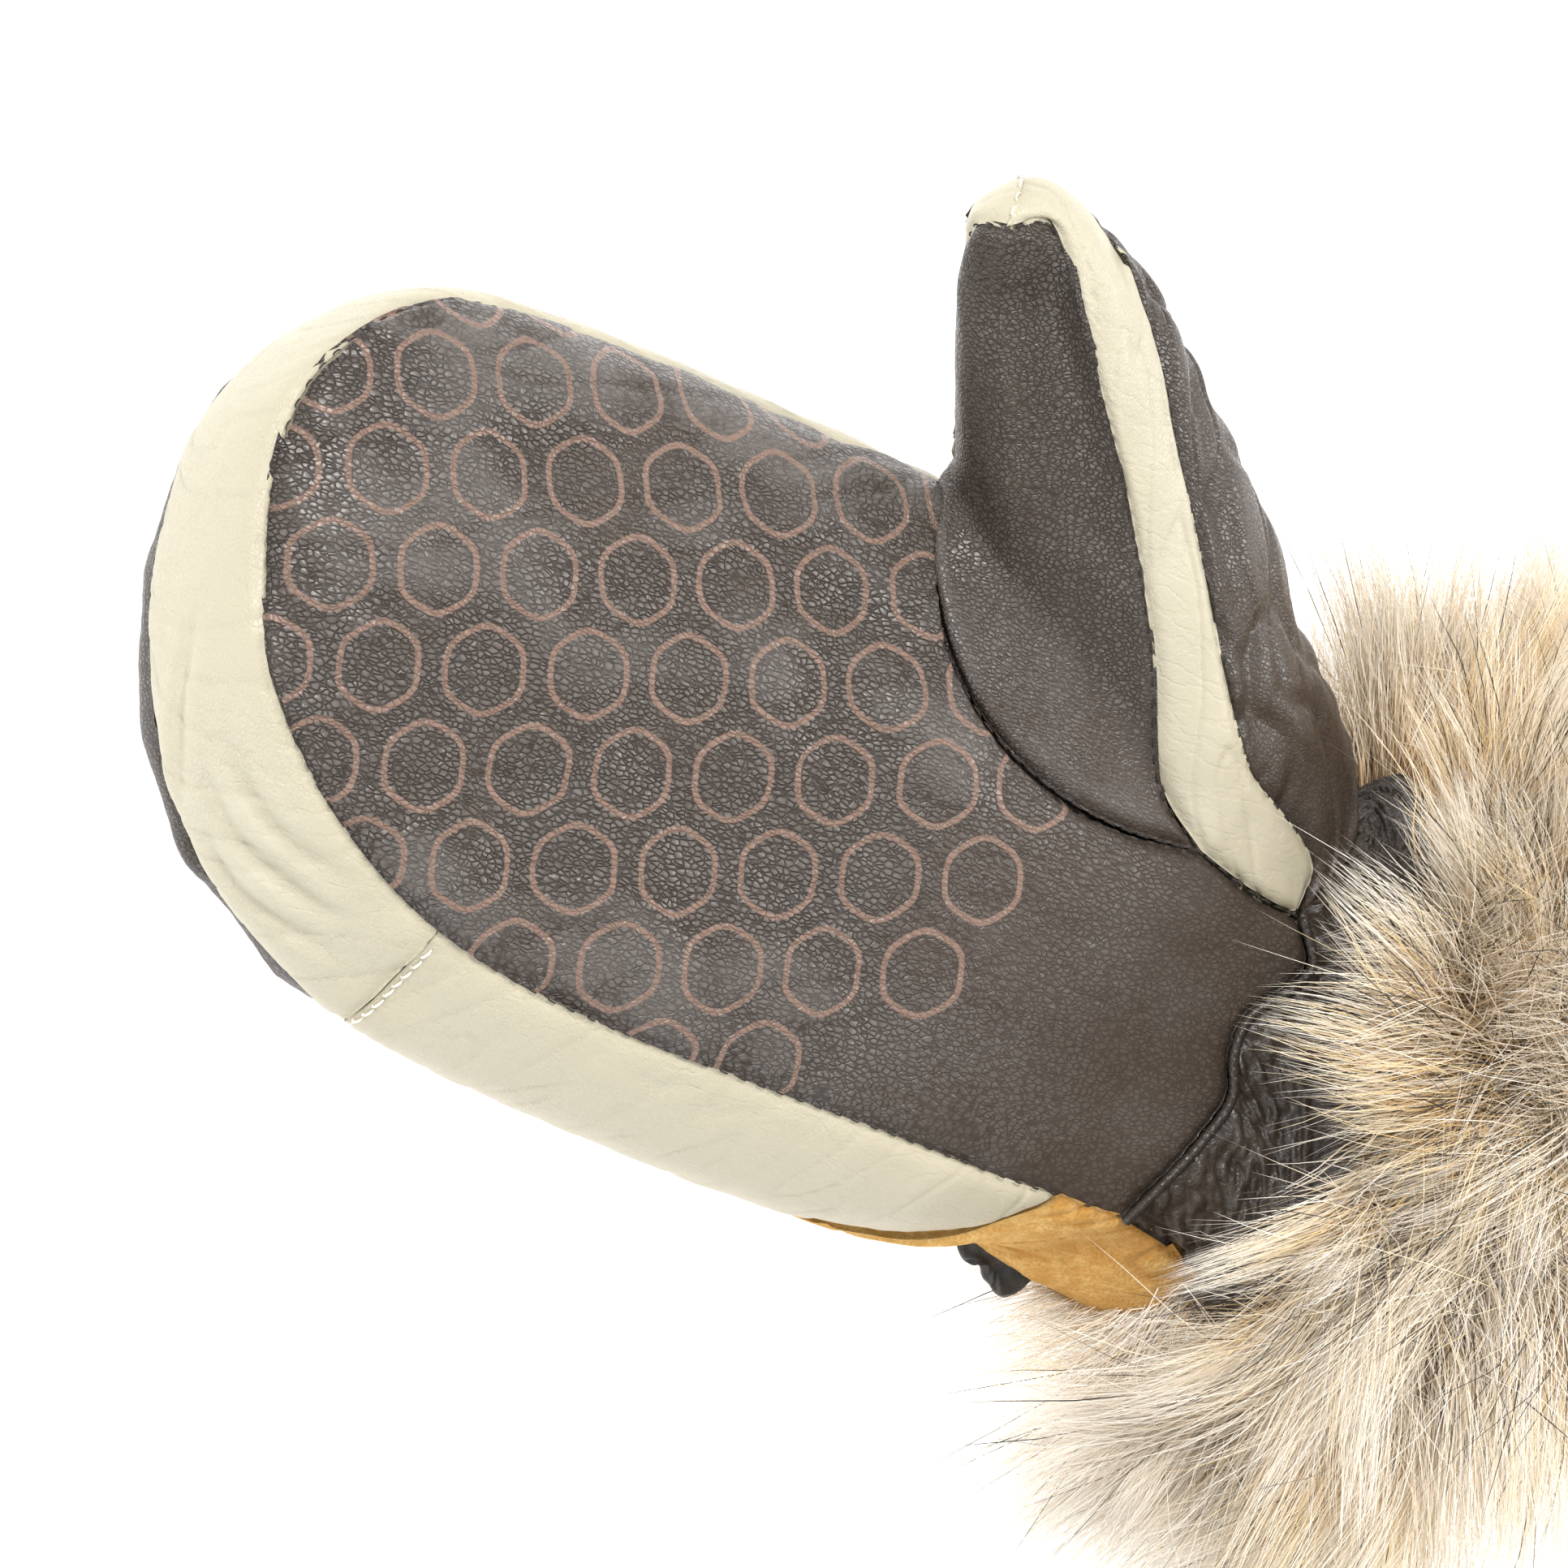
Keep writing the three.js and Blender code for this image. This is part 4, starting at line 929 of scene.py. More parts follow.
def pile_material():
    """Long pile: grey-brown at the root, partly painted shade deep in the pile, cream or golden along it,
    and black at some tips.
    """
    material, tree, shader = new_material("long_pile", Roughness=0.5, Specular_IOR_Level=0.35)
    tint, run = channels(tree, "strand")
    golden, guard = channels(tree, "patch")
    cream, gold, black = (strand_tone(run, stops) for stops in STRAND_TONES.values())
    # Partly painted light: the tint carries the row's pale share, so low tints darken a strand and high
    # ones whiten it
    tone = tint.spread(0.0, 0.4, 0.5, 0.0).blend(golden.blend(cream, gold), srgb(180, 146, 106))
    tone = tint.spread(0.75, 1.0, 0.0, 0.75).blend(tone, srgb(250, 246, 240))
    plug(tree, shader.inputs["Base Color"], guard.blend(tone, black))
    return material


# Leather colours: colour is the leather's own, light the colour of its painted highlights and sheen, and
# dark the colour of its painted shade
DARK = {"colour": srgb(66, 55, 46), "light": srgb(113, 108, 104), "dark": srgb(26, 20, 16)}
PALE = {"colour": srgb(187, 180, 159), "light": srgb(196, 190, 171), "dark": srgb(178, 168, 140)}
SHIRRED = {"colour": srgb(54, 47, 41), "light": srgb(74, 66, 59), "dark": srgb(27, 23, 20)}
THREAD = {"scale": 2500.0, "detail": 2.0, "rough": 0.6, "shine": 0.3, "depth": 0.1, "strength": 0.7}
LOOKS = {
    "palm": leather(
        "palm_leather", grain=1.1, depth=0.26, rough=0.3, stretch=(1.3, 0.8, 1), decorate=printed, **DARK),
    "dark": leather(
        "dark_leather", grain=0.95, depth=0.2, rough=0.3, top_highlight=0.5, stretch=(1.3, 0.85, 1), **DARK),
    "cream": leather(
        "cream_leather", grain=0.8, depth=0.075, rough=0.4, stretch=(0.7, 1.2, 1), wrinkle=0.8, valley_shade=0.15,
        top_highlight=0.0, **PALE),
    "gather": leather(
        "gather_leather", grain=1.1, depth=0.18, rough=0.3, wrinkle=0.4, top_highlight=0.4, **SHIRRED),
    "suede": suede_material(),
    "lining": speckled("lining", srgb(38, 36, 36), srgb(66, 63, 62), 900.0),
    "backing": speckled("pile_backing", srgb(112, 92, 70), srgb(168, 146, 114), 500.0),
    "white_thread": speckled("white_thread", srgb(226, 220, 206), srgb(252, 249, 242), **THREAD),
    "dark_thread": speckled("dark_thread", srgb(30, 27, 25), srgb(60, 54, 50), **THREAD),
    "moulding": moulding_material(),
    "pile": pile_material(),
}


# The leather panels

# The cells of each panel's grid, along it and across
CELLS = {
    "palm": (240, 120), "back": (120, 120), "thumb_front": (108, 132), "thumb_strip": (220, 32),
    "thumb_back": (144, 120), "suede": (112, 180), "gather": (352, 44),
}
# The seed of each panel's seams
SEEDS = {"palm": 10, "back": 30, "thumb_front": 60, "thumb_back": 90, "suede": 100, "gather": 115}
CREST_FACETS = 40
WRIST_FACETS = {"side": 8, "under": 2, "suede": 18, "gather": 16}
# The palm's waves are calm up to here from the wrist, and grow to their full height over a length
CALM = {"to": 30, "over": 60, "least": 0.15}
# How a panel bulges beside its seam: how far in, and how wide
LIPS = {"back": (4.5, 3.5), "thumb_front": (4.5, 3.2), "suede": (2.8, 2.4)}
THUMB_LIP = {"least": 0.3, "more": 1.4, "across": 0.45}
# The height over the floor at which a panel's waves and its seams are at their full height, with the
# least share of the seams' relief
FREE_WAVES = {"back": 6, "thumb_back": 6, "suede": 5}
FREE_SEAMS = {"thumb_back": (2, 0.3), "suede": (2, 0.2)}


def lip(grid, name, edge="start"):
    return hump(edge_distances(grid)[edge], *LIPS[name])


def palm_panel():
    grid = panel_grid(
        join(SEAMS["heel"], rim("palm", 0, PALM_TIP[0])),
        join(
            SEAMS["palm_to_thumb_strip"], SEAMS["palm_to_thumb"], rim("palm", PALM_TIP[1], LAST_ROW)[::-1]),
        SEAMS["wrist"], rim("palm", *PALM_TIP), CELLS["palm"], heights=PALM_HEIGHTS, swell=palm_swell,
    )
    calm = np.clip((surface_of(grid)[..., 1] - CALM["to"]) / CALM["over"], CALM["least"], 1)
    relief = seam_relief(grid, ALL_EDGES, SEEDS["palm"]) + calm * waves(grid, "palm")
    panel("padded_palm", "palm_panel", grid, relief, "palm", "dark_leather")


# How far the back swells out past the strip, by row of the rim
BACK_ROLL = [
    (4, 0.2), (5, 1.0), (5.5, 2.2), (6, 0.7), (6.8, 1.2), (7.5, 2.5), (8.2, 1.3), (9, 1.5), (9.5, 1.9),
    (10.2, 2.0), (11, 1.7), (12, 0.7), (13, 0), (14, 0),
]


def back_panel():
    grid = above_floor(panel_grid(
        rim("back", SUEDE_MEETS_BACK, BACK_TIP[0]), rim("back", BACK_TIP[1], LAST_ROW)[::-1],
        SEAMS["back_to_suede"], rim("back", *BACK_TIP), CELLS["back"],
        heights=BACK_HEIGHTS, swell=back_swell,
    ))
    relief = seam_relief(grid, ALL_EDGES, SEEDS["back"])
    relief += off_floor(grid, FREE_WAVES["back"]) * waves(grid, "back")
    turns = (SUEDE_MEETS_BACK, *BACK_TIP)
    for edge, start, end, share in zip(("low", "end"), turns, turns[1:], shares(CELLS["back"])):
        proud = np.interp(start + (end - start) * share, *zip(*BACK_ROLL))
        relief += proud * lip(grid, "back", edge)
    panel("padded_back", "back_panel", grid, relief, "dark", "dark_leather")


def strip_relief(grid, edges, seed, heading, amount=1.0):
    relief = seam_relief(grid, edges, seed, pull=0.6, pucker=0.25, shallow=("start", "end"))
    return relief + amount * waves(grid, "strip", heading, seed)


# Long soft creases of the fingertip strip: how far along its rows and across it each one passes
CREASES = [
    [(9.9, 0.3), (9.3, 0.24), (8.6, 0.17), (7.9, 0.08)],
    [(9.7, 0.46), (9.1, 0.4), (8.4, 0.31), (7.8, 0.2)],
    [(9.3, 0.58), (8.8, 0.54), (8.2, 0.45), (7.6, 0.36)],
    [(10.9, 0.35), (10.4, 0.5), (9.9, 0.62), (9.5, 0.72)],
]
CREASE = {
    "depth": 0.85, "width": 1.3, "ridge": 0.45, "beside": 3.2, "ridge_width": 2, "steps": 40, "fade": 0.6,
}


def creased(grid, first_row, last_row):
    """Creases as a valley with a soft ridge beside it, fading to their ends."""
    surface = surface_of(grid)
    relief = np.zeros(grid.shape[:2])
    rows, columns = grid.shape[0] - 1, grid.shape[1] - 1
    for crease in CREASES:
        places = [
            surface[round((row - first_row) / (last_row - first_row) * rows), round(across * columns)]
            for row, across in crease
        ]
        line = resample(rail(places), CREASE["steps"])
        distance = np.linalg.norm(surface[..., None, :] - line, axis=-1)
        away = distance.min(axis=-1)
        passed = np.clip(distance.argmin(axis=-1) / CREASE["steps"], 0, 1)
        fade = np.sin(np.pi * passed) ** CREASE["fade"]
        relief -= CREASE["depth"] * fade * hump(away, 0, CREASE["width"])
        relief += CREASE["ridge"] * fade * hump(away, CREASE["beside"], CREASE["ridge_width"])
    return relief


# The strips round the hand: piece, node, rows of the rim, cells, facets trimmed off, and seed
SIDE_STRIPS = [
    ("edge_strip", "side_strip_edge", (0, CROSS_SEAM), (168, 40), 0.2, 40),
    ("fingertip_strip", "side_strip_tip", (CROSS_SEAM, LAST_ROW), (288, 40), 0.0, 50),
]
# Those of the thumb: side, facets trimmed off, seed, and the height of the waves
THUMB_STRIPS = [("outer", 0.15, 70, 1.2), ("inner", 0.12, 80, 0.6)]


def side_strips():
    for name, node, rows, size, trim, seed in SIDE_STRIPS:
        grid = strip_grid([trimmed(line[span(*rows)], trim) for line in RIM_LINES.values()], size)
        relief = strip_relief(grid, ALL_EDGES, seed, heading=35)
        if rows[1] == LAST_ROW:
            relief += creased(grid, *rows)
        panel(name, node, grid, relief, "cream", "cream_leather")


def thumb_between(edge, other, sections, turn=0):
    """Points on the thumb half-way between two of its seams."""
    return [thumb_point(section, (section[edge] + section[other] + turn) / 2) for section in sections]


def thumb_front():
    middle = thumb_between("front", "inner", THUMB[1:])
    grid = panel_grid(
        THUMB_SEAMS["inner"], THUMB_SEAMS["front"], SEAMS["palm_to_thumb"][::-1],
        join(TIP_ARCS["front_inner"], TIP_ARCS["front_outer"][::-1]), CELLS["thumb_front"],
        crest=evenly([THUMB_FRONT_ROOT, *middle, THUMB_TIP["front"]], CREST_FACETS),
        crossing=THUMB_DIRECTION, ramp=1.8,
    )
    relief = seam_relief(grid, ALL_EDGES, SEEDS["thumb_front"], pull=0.5, pucker=0.5)
    relief += waves(grid, "thumb_front")
    inner_side = smooth_step(1 - shares(CELLS["thumb_front"])[1] / THUMB_LIP["across"])
    relief += (THUMB_LIP["least"] + THUMB_LIP["more"] * inner_side) * lip(grid, "thumb_front")
    panel("padded_thumb_front", "thumb_front", grid, relief, "dark", "dark_leather")


def thumb_strips():
    outer = (
        join(SEAMS["palm_to_thumb_strip"], THUMB_SEAMS["front"], TIP_ARCS["front_outer"]),
        evenly([
            PALM_TO_THUMB_STRIP[0], THUMB_STRIP_CREST, *thumb_between("front", "outer", THUMB),
            THUMB_TIP["outer_crest"], THUMB_TIP["middle"],
        ], THUMB_FACETS + HEEL_FACETS + THUMB_TIP_FACETS),
        join(THUMB_SEAMS["outer"], TIP_ARCS["back_outer"]),
    )
    inner = (
        join(THUMB_SEAMS["inner"], TIP_ARCS["front_inner"]),
        evenly([
            CROTCH["middle"], *thumb_between("inner", "back", THUMB[FREE:]),
            THUMB_TIP["inner_crest"], THUMB_TIP["middle"],
        ], THUMB_FACETS + THUMB_TIP_FACETS),
        join(THUMB_SEAMS["back"], TIP_ARCS["back_inner"]),
    )
    for (side, trim, seed, amount), lines in zip(THUMB_STRIPS, (outer, inner)):
        grid = strip_grid([trimmed(line, trim) for line in lines], CELLS["thumb_strip"])
        relief = strip_relief(grid, ("low", "high", "end"), seed, heading=62, amount=amount)
        panel(f"{side}_thumb_strip", f"thumb_strip_{side}", grid, relief, "cream", "cream_leather")


def thumb_back():
    corner = (THUMB_BASE_FACETS - HEEL_FACETS) * DENSE
    behind = thumb_between("outer", "back", THUMB[FREE:], turn=360)
    grid = above_floor(panel_grid(
        THUMB_SEAMS["outer"], join(SEAMS["thumb_base"][corner:], THUMB_SEAMS["back"]),
        join(SEAMS["thumb_heel"], SEAMS["thumb_base"][:corner + 1]),
        join(TIP_ARCS["back_outer"], TIP_ARCS["back_inner"][::-1]), CELLS["thumb_back"],
        crest=evenly([*THUMB_BACK_CREST, *behind, THUMB_TIP["back"]], CREST_FACETS),
        crossing=THUMB_DIRECTION,
    ))
    relief = seam_relief(grid, ALL_EDGES, SEEDS["thumb_back"])
    relief *= off_floor(grid, *FREE_SEAMS["thumb_back"])
    relief += off_floor(grid, FREE_WAVES["thumb_back"]) * waves(grid, "thumb_back")
    panel("padded_thumb_back", "thumb_back", grid, relief, "dark", "dark_leather", 0.5)


def suede_edges():
    corner = cuff_point(CUFF["front"], SUEDE_FROM)
    return {
        "front": join(rim("back", 0, SUEDE_MEETS_BACK), SEAMS["back_to_suede"]),
        "gather_side": join(
            SEAMS["heel"][::-1], evenly([PALM_HEEL[0], SUEDE_TO_GATHER, corner], WRIST_FACETS["side"])),
        "thumb_side": join(
            SEAMS["thumb_base"][::-1],
            evenly([THUMB_BASE[0], cuff_point(CUFF["front"], SUEDE_TO)], WRIST_FACETS["under"])),
        "cuff_side": cuff_arc(SUEDE_FROM, SUEDE_TO, WRIST_FACETS["suede"]),
    }


def suede_panel():
    edges = suede_edges()
    sides = [edges[side] for side in ("gather_side", "thumb_side", "front", "cuff_side")]
    grid = panel_grid(*sides, CELLS["suede"])
    u, v = shares(CELLS["suede"])
    bulge = SUEDE_BULGE["height"] * np.sin(math.pi * u ** SUEDE_BULGE["toward_cuff"])
    bulge *= hump(v, SUEDE_BULGE["middle"], SUEDE_BULGE["width"]) * np.minimum(1, v / SUEDE_BULGE["fade"])
    grid = above_floor(grid - inward(grid) * bulge[..., None])
    relief = seam_relief(grid, ("low", "high", "end"), SEEDS["suede"], pull=0.6)
    relief *= off_floor(grid, *FREE_SEAMS["suede"])
    relief += off_floor(grid, FREE_WAVES["suede"]) * waves(grid, "suede")
    relief += np.interp(v, *zip(*SUEDE_ROLL)) * lip(grid, "suede")
    panel("padded_wrist", "suede_panel", grid, relief, "suede", "suede", 0.5)


# The shirred leather: how far it sinks in, how its pleats slant, its sewn row, and the relief that
# is left at its edges
SHIRR = {
    "hollow": 3.5, "slant": 0.45, "row": 0.55, "row_sway": 0.05, "sway_run": 9, "row_width": 0.04,
    "row_depth": 0.8, "seed": 117, "level": 1.0, "at_edge": 0.25,
}
# Pleats: height, spacing, bends across the panel, shift and seed
PLEATS = [(2.1, 7.5, 1.5, 0, 111), (1.5, 4.2, 2.6, 4, 112)]
# The crumples in them: height, spacing, length and seed, and the grain's height and seed
CRUMPLE = {"folds": (1.8, 3.6, 4.5, 113), "grain": (0.4, 116)}


def wrist_gather():
    edges = suede_edges()
    grid = panel_grid(
        join(SEAMS["wrist"], SEAMS["thumb_heel"]),
        cuff_arc(SUEDE_FROM, SUEDE_TO - 360, WRIST_FACETS["gather"]),
        edges["gather_side"][HEEL_FACETS * DENSE:],
        edges["thumb_side"][-WRIST_FACETS["under"] * DENSE - 1:], CELLS["gather"],
    )
    u, v = shares(CELLS["gather"])
    swell = np.sin(math.pi * v)
    grid = grid + inward(grid) * (SHIRR["hollow"] * swell * np.sqrt(np.sin(math.pi * u)))[..., None]
    side, down = np.moveaxis(surface_of(grid), -1, 0)
    slant = down + SHIRR["slant"] * side
    pleats = 0
    for height, spacing, bends, shift, seed in PLEATS:
        pleats = pleats + height * np.abs(perlin(slant / spacing, v * bends + shift, seed))
    height, spacing, length, seed = CRUMPLE["folds"]
    crumple = height * np.abs(perlin(slant / spacing, side / length, seed))
    height, seed = CRUMPLE["grain"]
    crumple += height * perlin(slant, side, seed)
    sway = SHIRR["row_sway"] * perlin(slant / SHIRR["sway_run"], v * 0, SHIRR["seed"])
    sewn_row = SHIRR["row_depth"] * hump(v, SHIRR["row"] + sway, SHIRR["row_width"])
    relief = pleats + crumple - sewn_row - SHIRR["level"]
    relief = relief * (SHIRR["at_edge"] + (1 - SHIRR["at_edge"]) * swell**0.5)
    relief += seam_relief(grid, ("low", "start"), SEEDS["gather"], pull=0.3)
    panel("shirred_wrist", "wrist_gather", grid, relief, "gather", "gather_leather", 0.3)


PIPING = {
    "radius": 0.95, "lift": 0.55, "pinch": 0.12, "sharp": 8, "pitch": 3.2, "end": 0.5, "steps": 240,
    "sides": 10,
}


def palm_piping():
    line = resample(SEAMS["wrist"], PIPING["steps"])
    line = line - inward(line) * PIPING["lift"]
    pinch = PIPING["pinch"] * np.cos(2 * math.pi * lengths(line) / PIPING["pitch"]) ** PIPING["sharp"]
    radii = PIPING["radius"] * (1 - pinch)
    radii[[0, -1]] *= PIPING["end"]
    points, faces = tube(line, radii, PIPING["sides"])
    # Even values in the map for painted light: no painted highlight, and a little painted shade all along
    painted_light = np.full((len(points), 2), 0.5)
    piece = mesh_object("wrist_piping", points, faces, {"painted_light": painted_light}, (LOOKS["gather"],))
    placed(piece, "palm_piping", slot="dark_leather")


# Stitches: short threads that dip into the leather at both ends

# Rows of stitches: how deep they lie, their pitch and the share of it that shows, the thread's
# radius, how high it stands and how far it slants, and the seed
STITCHES = {
    "palm": (0.7, 3.7, 0.42, 0.15, 0.14, 0.06, 1),
    "crotch": (0.5, 3.4, 0.72, 0.24, 0.34, 0.05, 2),
    "thumb": (0.7, 3.4, 0.45, 0.15, 0.14, 0.08, 3),
    "cross": (0.0, 2.6, 0.8, 0.22, 0.36, 0.3, 4),
    "tip": (0.2, 3.0, 0.6, 0.17, 0.3, 0.15, 5),
}
STITCH = {"steps": 7, "uneven": 0.05, "thin": 0.75, "sides": 6, "across": (0.06, 0.94, 60)}


def stitch_row(name, line):
    """Stitches along a line, as the threads' points and faces."""
    sunk, pitch, share, radius, height, slant, seed = STITCHES[name]
    facing = -inward(line)
    line = line - facing * sunk
    rng = np.random.default_rng(seed)
    run = lengths(line)
    t = np.linspace(-1, 1, STITCH["steps"])
    arch = 1 - t**4
    parts = []
    for k in range(int(run[-1] / pitch)):
        middle = (k + 0.5) * pitch + rng.normal(0, STITCH["uneven"] * pitch)
        places = middle + t / 2 * pitch * share
        if places[0] < 0 or places[-1] > run[-1]:
            continue
        path, out = along(places, run, line), along(places, run, facing)
        aside = unit(np.cross(path[-1] - path[0], out[len(t) // 2]))
        path = path + out * ((arch * 2 - 1) * height)[:, None] + t[:, None] * aside * slant
        parts.append(tube(path, radius * (STITCH["thin"] + (1 - STITCH["thin"]) * arch), STITCH["sides"]))
    return parts


CROSS_SHIFT = np.array((-0.2625, -0.75, 0))


def stitched_seams():
    crotch = join(SEAMS["palm_to_thumb_strip"], SEAMS["palm_to_thumb"])
    dark = stitch_row("palm", rim("palm", 0, LAST_ROW)) + stitch_row("crotch", crotch)
    for name, arc in (("front", "front_outer"), ("outer", "back_outer"), ("inner", "front_inner")):
        dark += stitch_row("thumb", join(THUMB_SEAMS[name], TIP_ARCS[arc]))
    across = np.linspace(*STITCH["across"])[:, None]
    cross = folded(crowned(*[line[CROSS_SEAM * 2 * DENSE] for line in RIM_LINES.values()], across))
    ridge = crowned(*[np.array(THUMB_TIP[side]) for side in ("front", "middle", "back")], across)
    pale = stitch_row("cross", cross + CROSS_SHIFT) + stitch_row("tip", ridge)
    for name, rows, look, slot in (
        ("dark_stitches", dark, "dark_thread", "gather_leather"),
        ("pale_stitches", pale, "white_thread", "cream_leather"),
    ):
        placed(mesh_object(name, *joined(rows), materials=(LOOKS[look],)), slot=slot)


# The moulded tab of the strap

TAB = {
    "at": (-53.6, -92.2, 8.8), "along": (-0.2079, -0.9781, 0), "facing": (-0.4891, 0.104, 0.866),
    "thickness": 2.6, "rib": 0.45, "rib_pitch": 2.1, "ribs_above": 0.95, "points": 72,
}
# Its outline, along and across the strap, with a bitten edge outwards
TAB_OUTLINE = [
    (7.4, -3.2), (8.0, -1.0), (7.6, 2.5), (6.0, 4.4), (0, 4.5), (-5.4, 4.4), (-7.2, 3.0), (-7.6, 0.6),
    (-6.8, -1.8), (-5.0, -3.0), (-3.4, -3.2), (-2.4, -2.4), (-1.0, -2.6), (0.6, -3.9), (2.4, -4.3),
    (4.4, -5.0), (6.4, -4.7),
]
# Its section: how far in from the outline, as a share, and how high
TAB_LEVELS = [
    (0.86, -1.0), (1.0, -0.4), (1.0, 0.4), (0.88, 1.0), (0.72, 1.0), (0.64, 1.3), (0.42, 1.3), (0.34, 0.9),
]


def strap_tab():
    rows = np.array([*TAB_OUTLINE, TAB_OUTLINE[0]])
    outline = evenly(np.column_stack([rows, np.zeros(len(rows))]), 6)
    outline = resample(outline, TAB["points"])[:-1, :2]
    rings = []
    for share, level in TAB_LEVELS:
        ribs = TAB["rib"] * np.cos(outline[:, 0] * TAB["rib_pitch"]) * (level > TAB["ribs_above"])
        rings.append(np.column_stack([outline * share, level * TAB["thickness"] / 2 + ribs * share]))
    heading, facing = np.array(TAB["along"]), np.array(TAB["facing"])
    turn = np.column_stack([heading, unit(np.cross(facing, heading)), facing])
    points = np.vstack(rings) @ turn.T + np.array(TAB["at"])
    piece = mesh_object("strap_end", points, closed(rings), materials=(LOOKS["moulding"],))
    placed(piece, "strap_tab", slot="moulding")


# The cuff: a hollow band that carries the pile

BAND = {"around": 128, "rings": 12, "ripple": 0.5, "waves": 11, "inside": 0.4}


def cuff_band():
    around = np.linspace(0, 360, BAND["around"] + 1)[:-1]

    def ripple(y):
        return BAND["ripple"] * np.sin(np.radians(around * BAND["waves"]) + y)

    places = np.linspace(CUFF["front"] - CUFF["gap"], CUFF["back"], BAND["rings"])
    rings = [cuff_point(y, around, ripple(y)) for y in places]
    rings += [cuff_point(y, around, BAND["inside"] * ripple(y) - WALL) for y in places[::-1]]
    points = np.vstack(rings)
    index = np.arange(len(points)).reshape(len(rings), -1)
    looped = np.vstack([index, index[:1]])
    faces = quads(np.hstack([looped, looped[:, :1]]))
    kinds = np.repeat((0, 1), len(faces) // 2)
    piece = mesh_object("cuff_band", points, faces, None, (LOOKS["backing"], LOOKS["lining"]), kinds)
    placed(piece, "fur_cuff", slot="long_pile")


# How the pile lies, by degrees round the cuff. front and back are the forward lean of those rows,
# side the lean to +X, sag the fall to the floor, and tousle how much the tufts differ. pale, golden
# and guards are shares of those strands; pale lightens them, partly as painted light round the
# little-finger side of the cuff, which lies in shade.
PILE_COLUMNS = (
    "degrees", "front", "back", "side", "sag", "length", "tousle", "pale", "golden", "guards",
)
PILE_LIE = [
    (0, 1.35, 0.15, -0.62, 0.55, 56, 0.3, 1.7, 0.05, 0.02),
    (45, 1.15, 0.0, -0.5, 0.15, 52, 0.3, 1.7, 0.1, 0.02),
    (90, 0.4, -0.3, 0.0, 0.1, 36, 0.3, 0.9, 0.3, 0.03),
    (140, 0.55, -0.4, 0.35, 0.1, 48, 0.3, 0.5, 0.1, 0.02),
    (172, 0.35, -0.4, 0.6, 0.15, 52, 0.45, 0.3, 0.0, 0.01),
    (195, -0.05, -0.45, 0.5, 0.2, 46, 0.5, 0.3, 0.2, 0.02),
    (215, 0.1, -0.35, 0.4, 0.3, 42, 0.5, 0.4, 0.4, 0.06),
    (235, 0.75, -0.2, 0.2, 0.4, 40, 0.5, 0.65, 0.35, 0.08),
    (255, 0.95, -0.1, 0.0, 0.4, 42, 0.5, 0.65, 0.4, 0.07),
    (275, 0.85, -0.2, -0.2, 0.4, 44, 0.45, 0.65, 0.4, 0.07),
    (295, 0.4, -0.35, -0.95, 0.45, 48, 0.4, 0.75, 0.35, 0.05),
    (325, 0.6, -0.35, -1.15, 0.5, 52, 0.32, 0.95, 0.25, 0.03),
    (345, 1.0, -0.1, -0.9, 0.55, 55, 0.3, 1.4, 0.1, 0.025),
    (360, 1.35, 0.15, -0.62, 0.55, 56, 0.3, 1.7, 0.05, 0.02),
]
PILE = {
    "pieces": 4, "clumps": 54, "wisps": 8, "seed": 500, "strays": 0.17, "loose": 0.3, "tangled": 0.55,
    "forward": 0.45, "away": 0.35, "reach": 0.03, "proud": 9.0, "longer": 1.32, "rooted": 0.3,
    "radius": 42, "wide_guard": 1.45, "follow": 0.15, "start": 0.4,
}
# How the headings vary over the band: by how much, run in degrees, turns from edge to edge, shift, seed
LEAN_NOISE = (0.3, 24, 2.2, 0, 600)
SWIRL_NOISE = (0.5, 20, 1.8, 5, 601)
# A strand's heading: the shares of its lean and swirl at the root and the lowest way out of the band,
# then the share of that way at the tip, and how much before the tip it has turned
HEADING = {"lean": 0.45, "swirl": 0.3, "lowest": -0.15, "outward": 0.55, "sooner": 1.15}
# How much tufts and strands differ: the shares of a tuft's length, and the spreads of its wisps, of
# their tints and of each strand's two headings
TUFT = {"short": 0.82, "long": 1.1, "inside": 1, "wisp": 0.19, "tint": 0.12, "start": 0.06, "end": 0.07}
# Where roots are kept on the band: within these of its edges, and spread out again from near them
ROOT = {"front": 0.6, "near_front": 0.7, "back": 0.3, "near_back": 0.4, "spread": 5}
# How strands bend: how late they gather, the waves of a wisp and a strand's own, and what is left of
# them in strands that lie free
BEND = {"late": 1.2, "height": 1.1, "curl": 5.2, "own": 0.75, "own_curl": 4, "turn": 6.28, "free": 0.5}
# How strands lie on the floor: the heights that their tips rest at, and how softly they meet it
LAID = {"low": 0.3, "high": 8, "soft": 1.0, "gap": 0.05}
# The tint is a share at random and a share of the row's pale, which is partly painted light; the golden
# patches have a run in degrees and one in millimetres, a shift, a seed, a spread and an edge
TINT = {"random": 0.75, "pale": 0.35, "less": 0.05}
GOLDEN = {"around": 19, "shift": 9, "along": 15, "seed": 700, "spread": 0.12, "edge": 0.35, "sharp": 2.4}
BLADE = {
    "thin": 0.7, "wide": 1.25, "roll": 0.5, "places": (0, 0.3, 0.75, 1), "taper": (0.8, 1.0, 0.7, 0.1),
}
# The second map: its cells are this much taller than wide, with margins at their sides and ends
CELL = {"tall": 10, "side": 0.1, "end": 0.05}
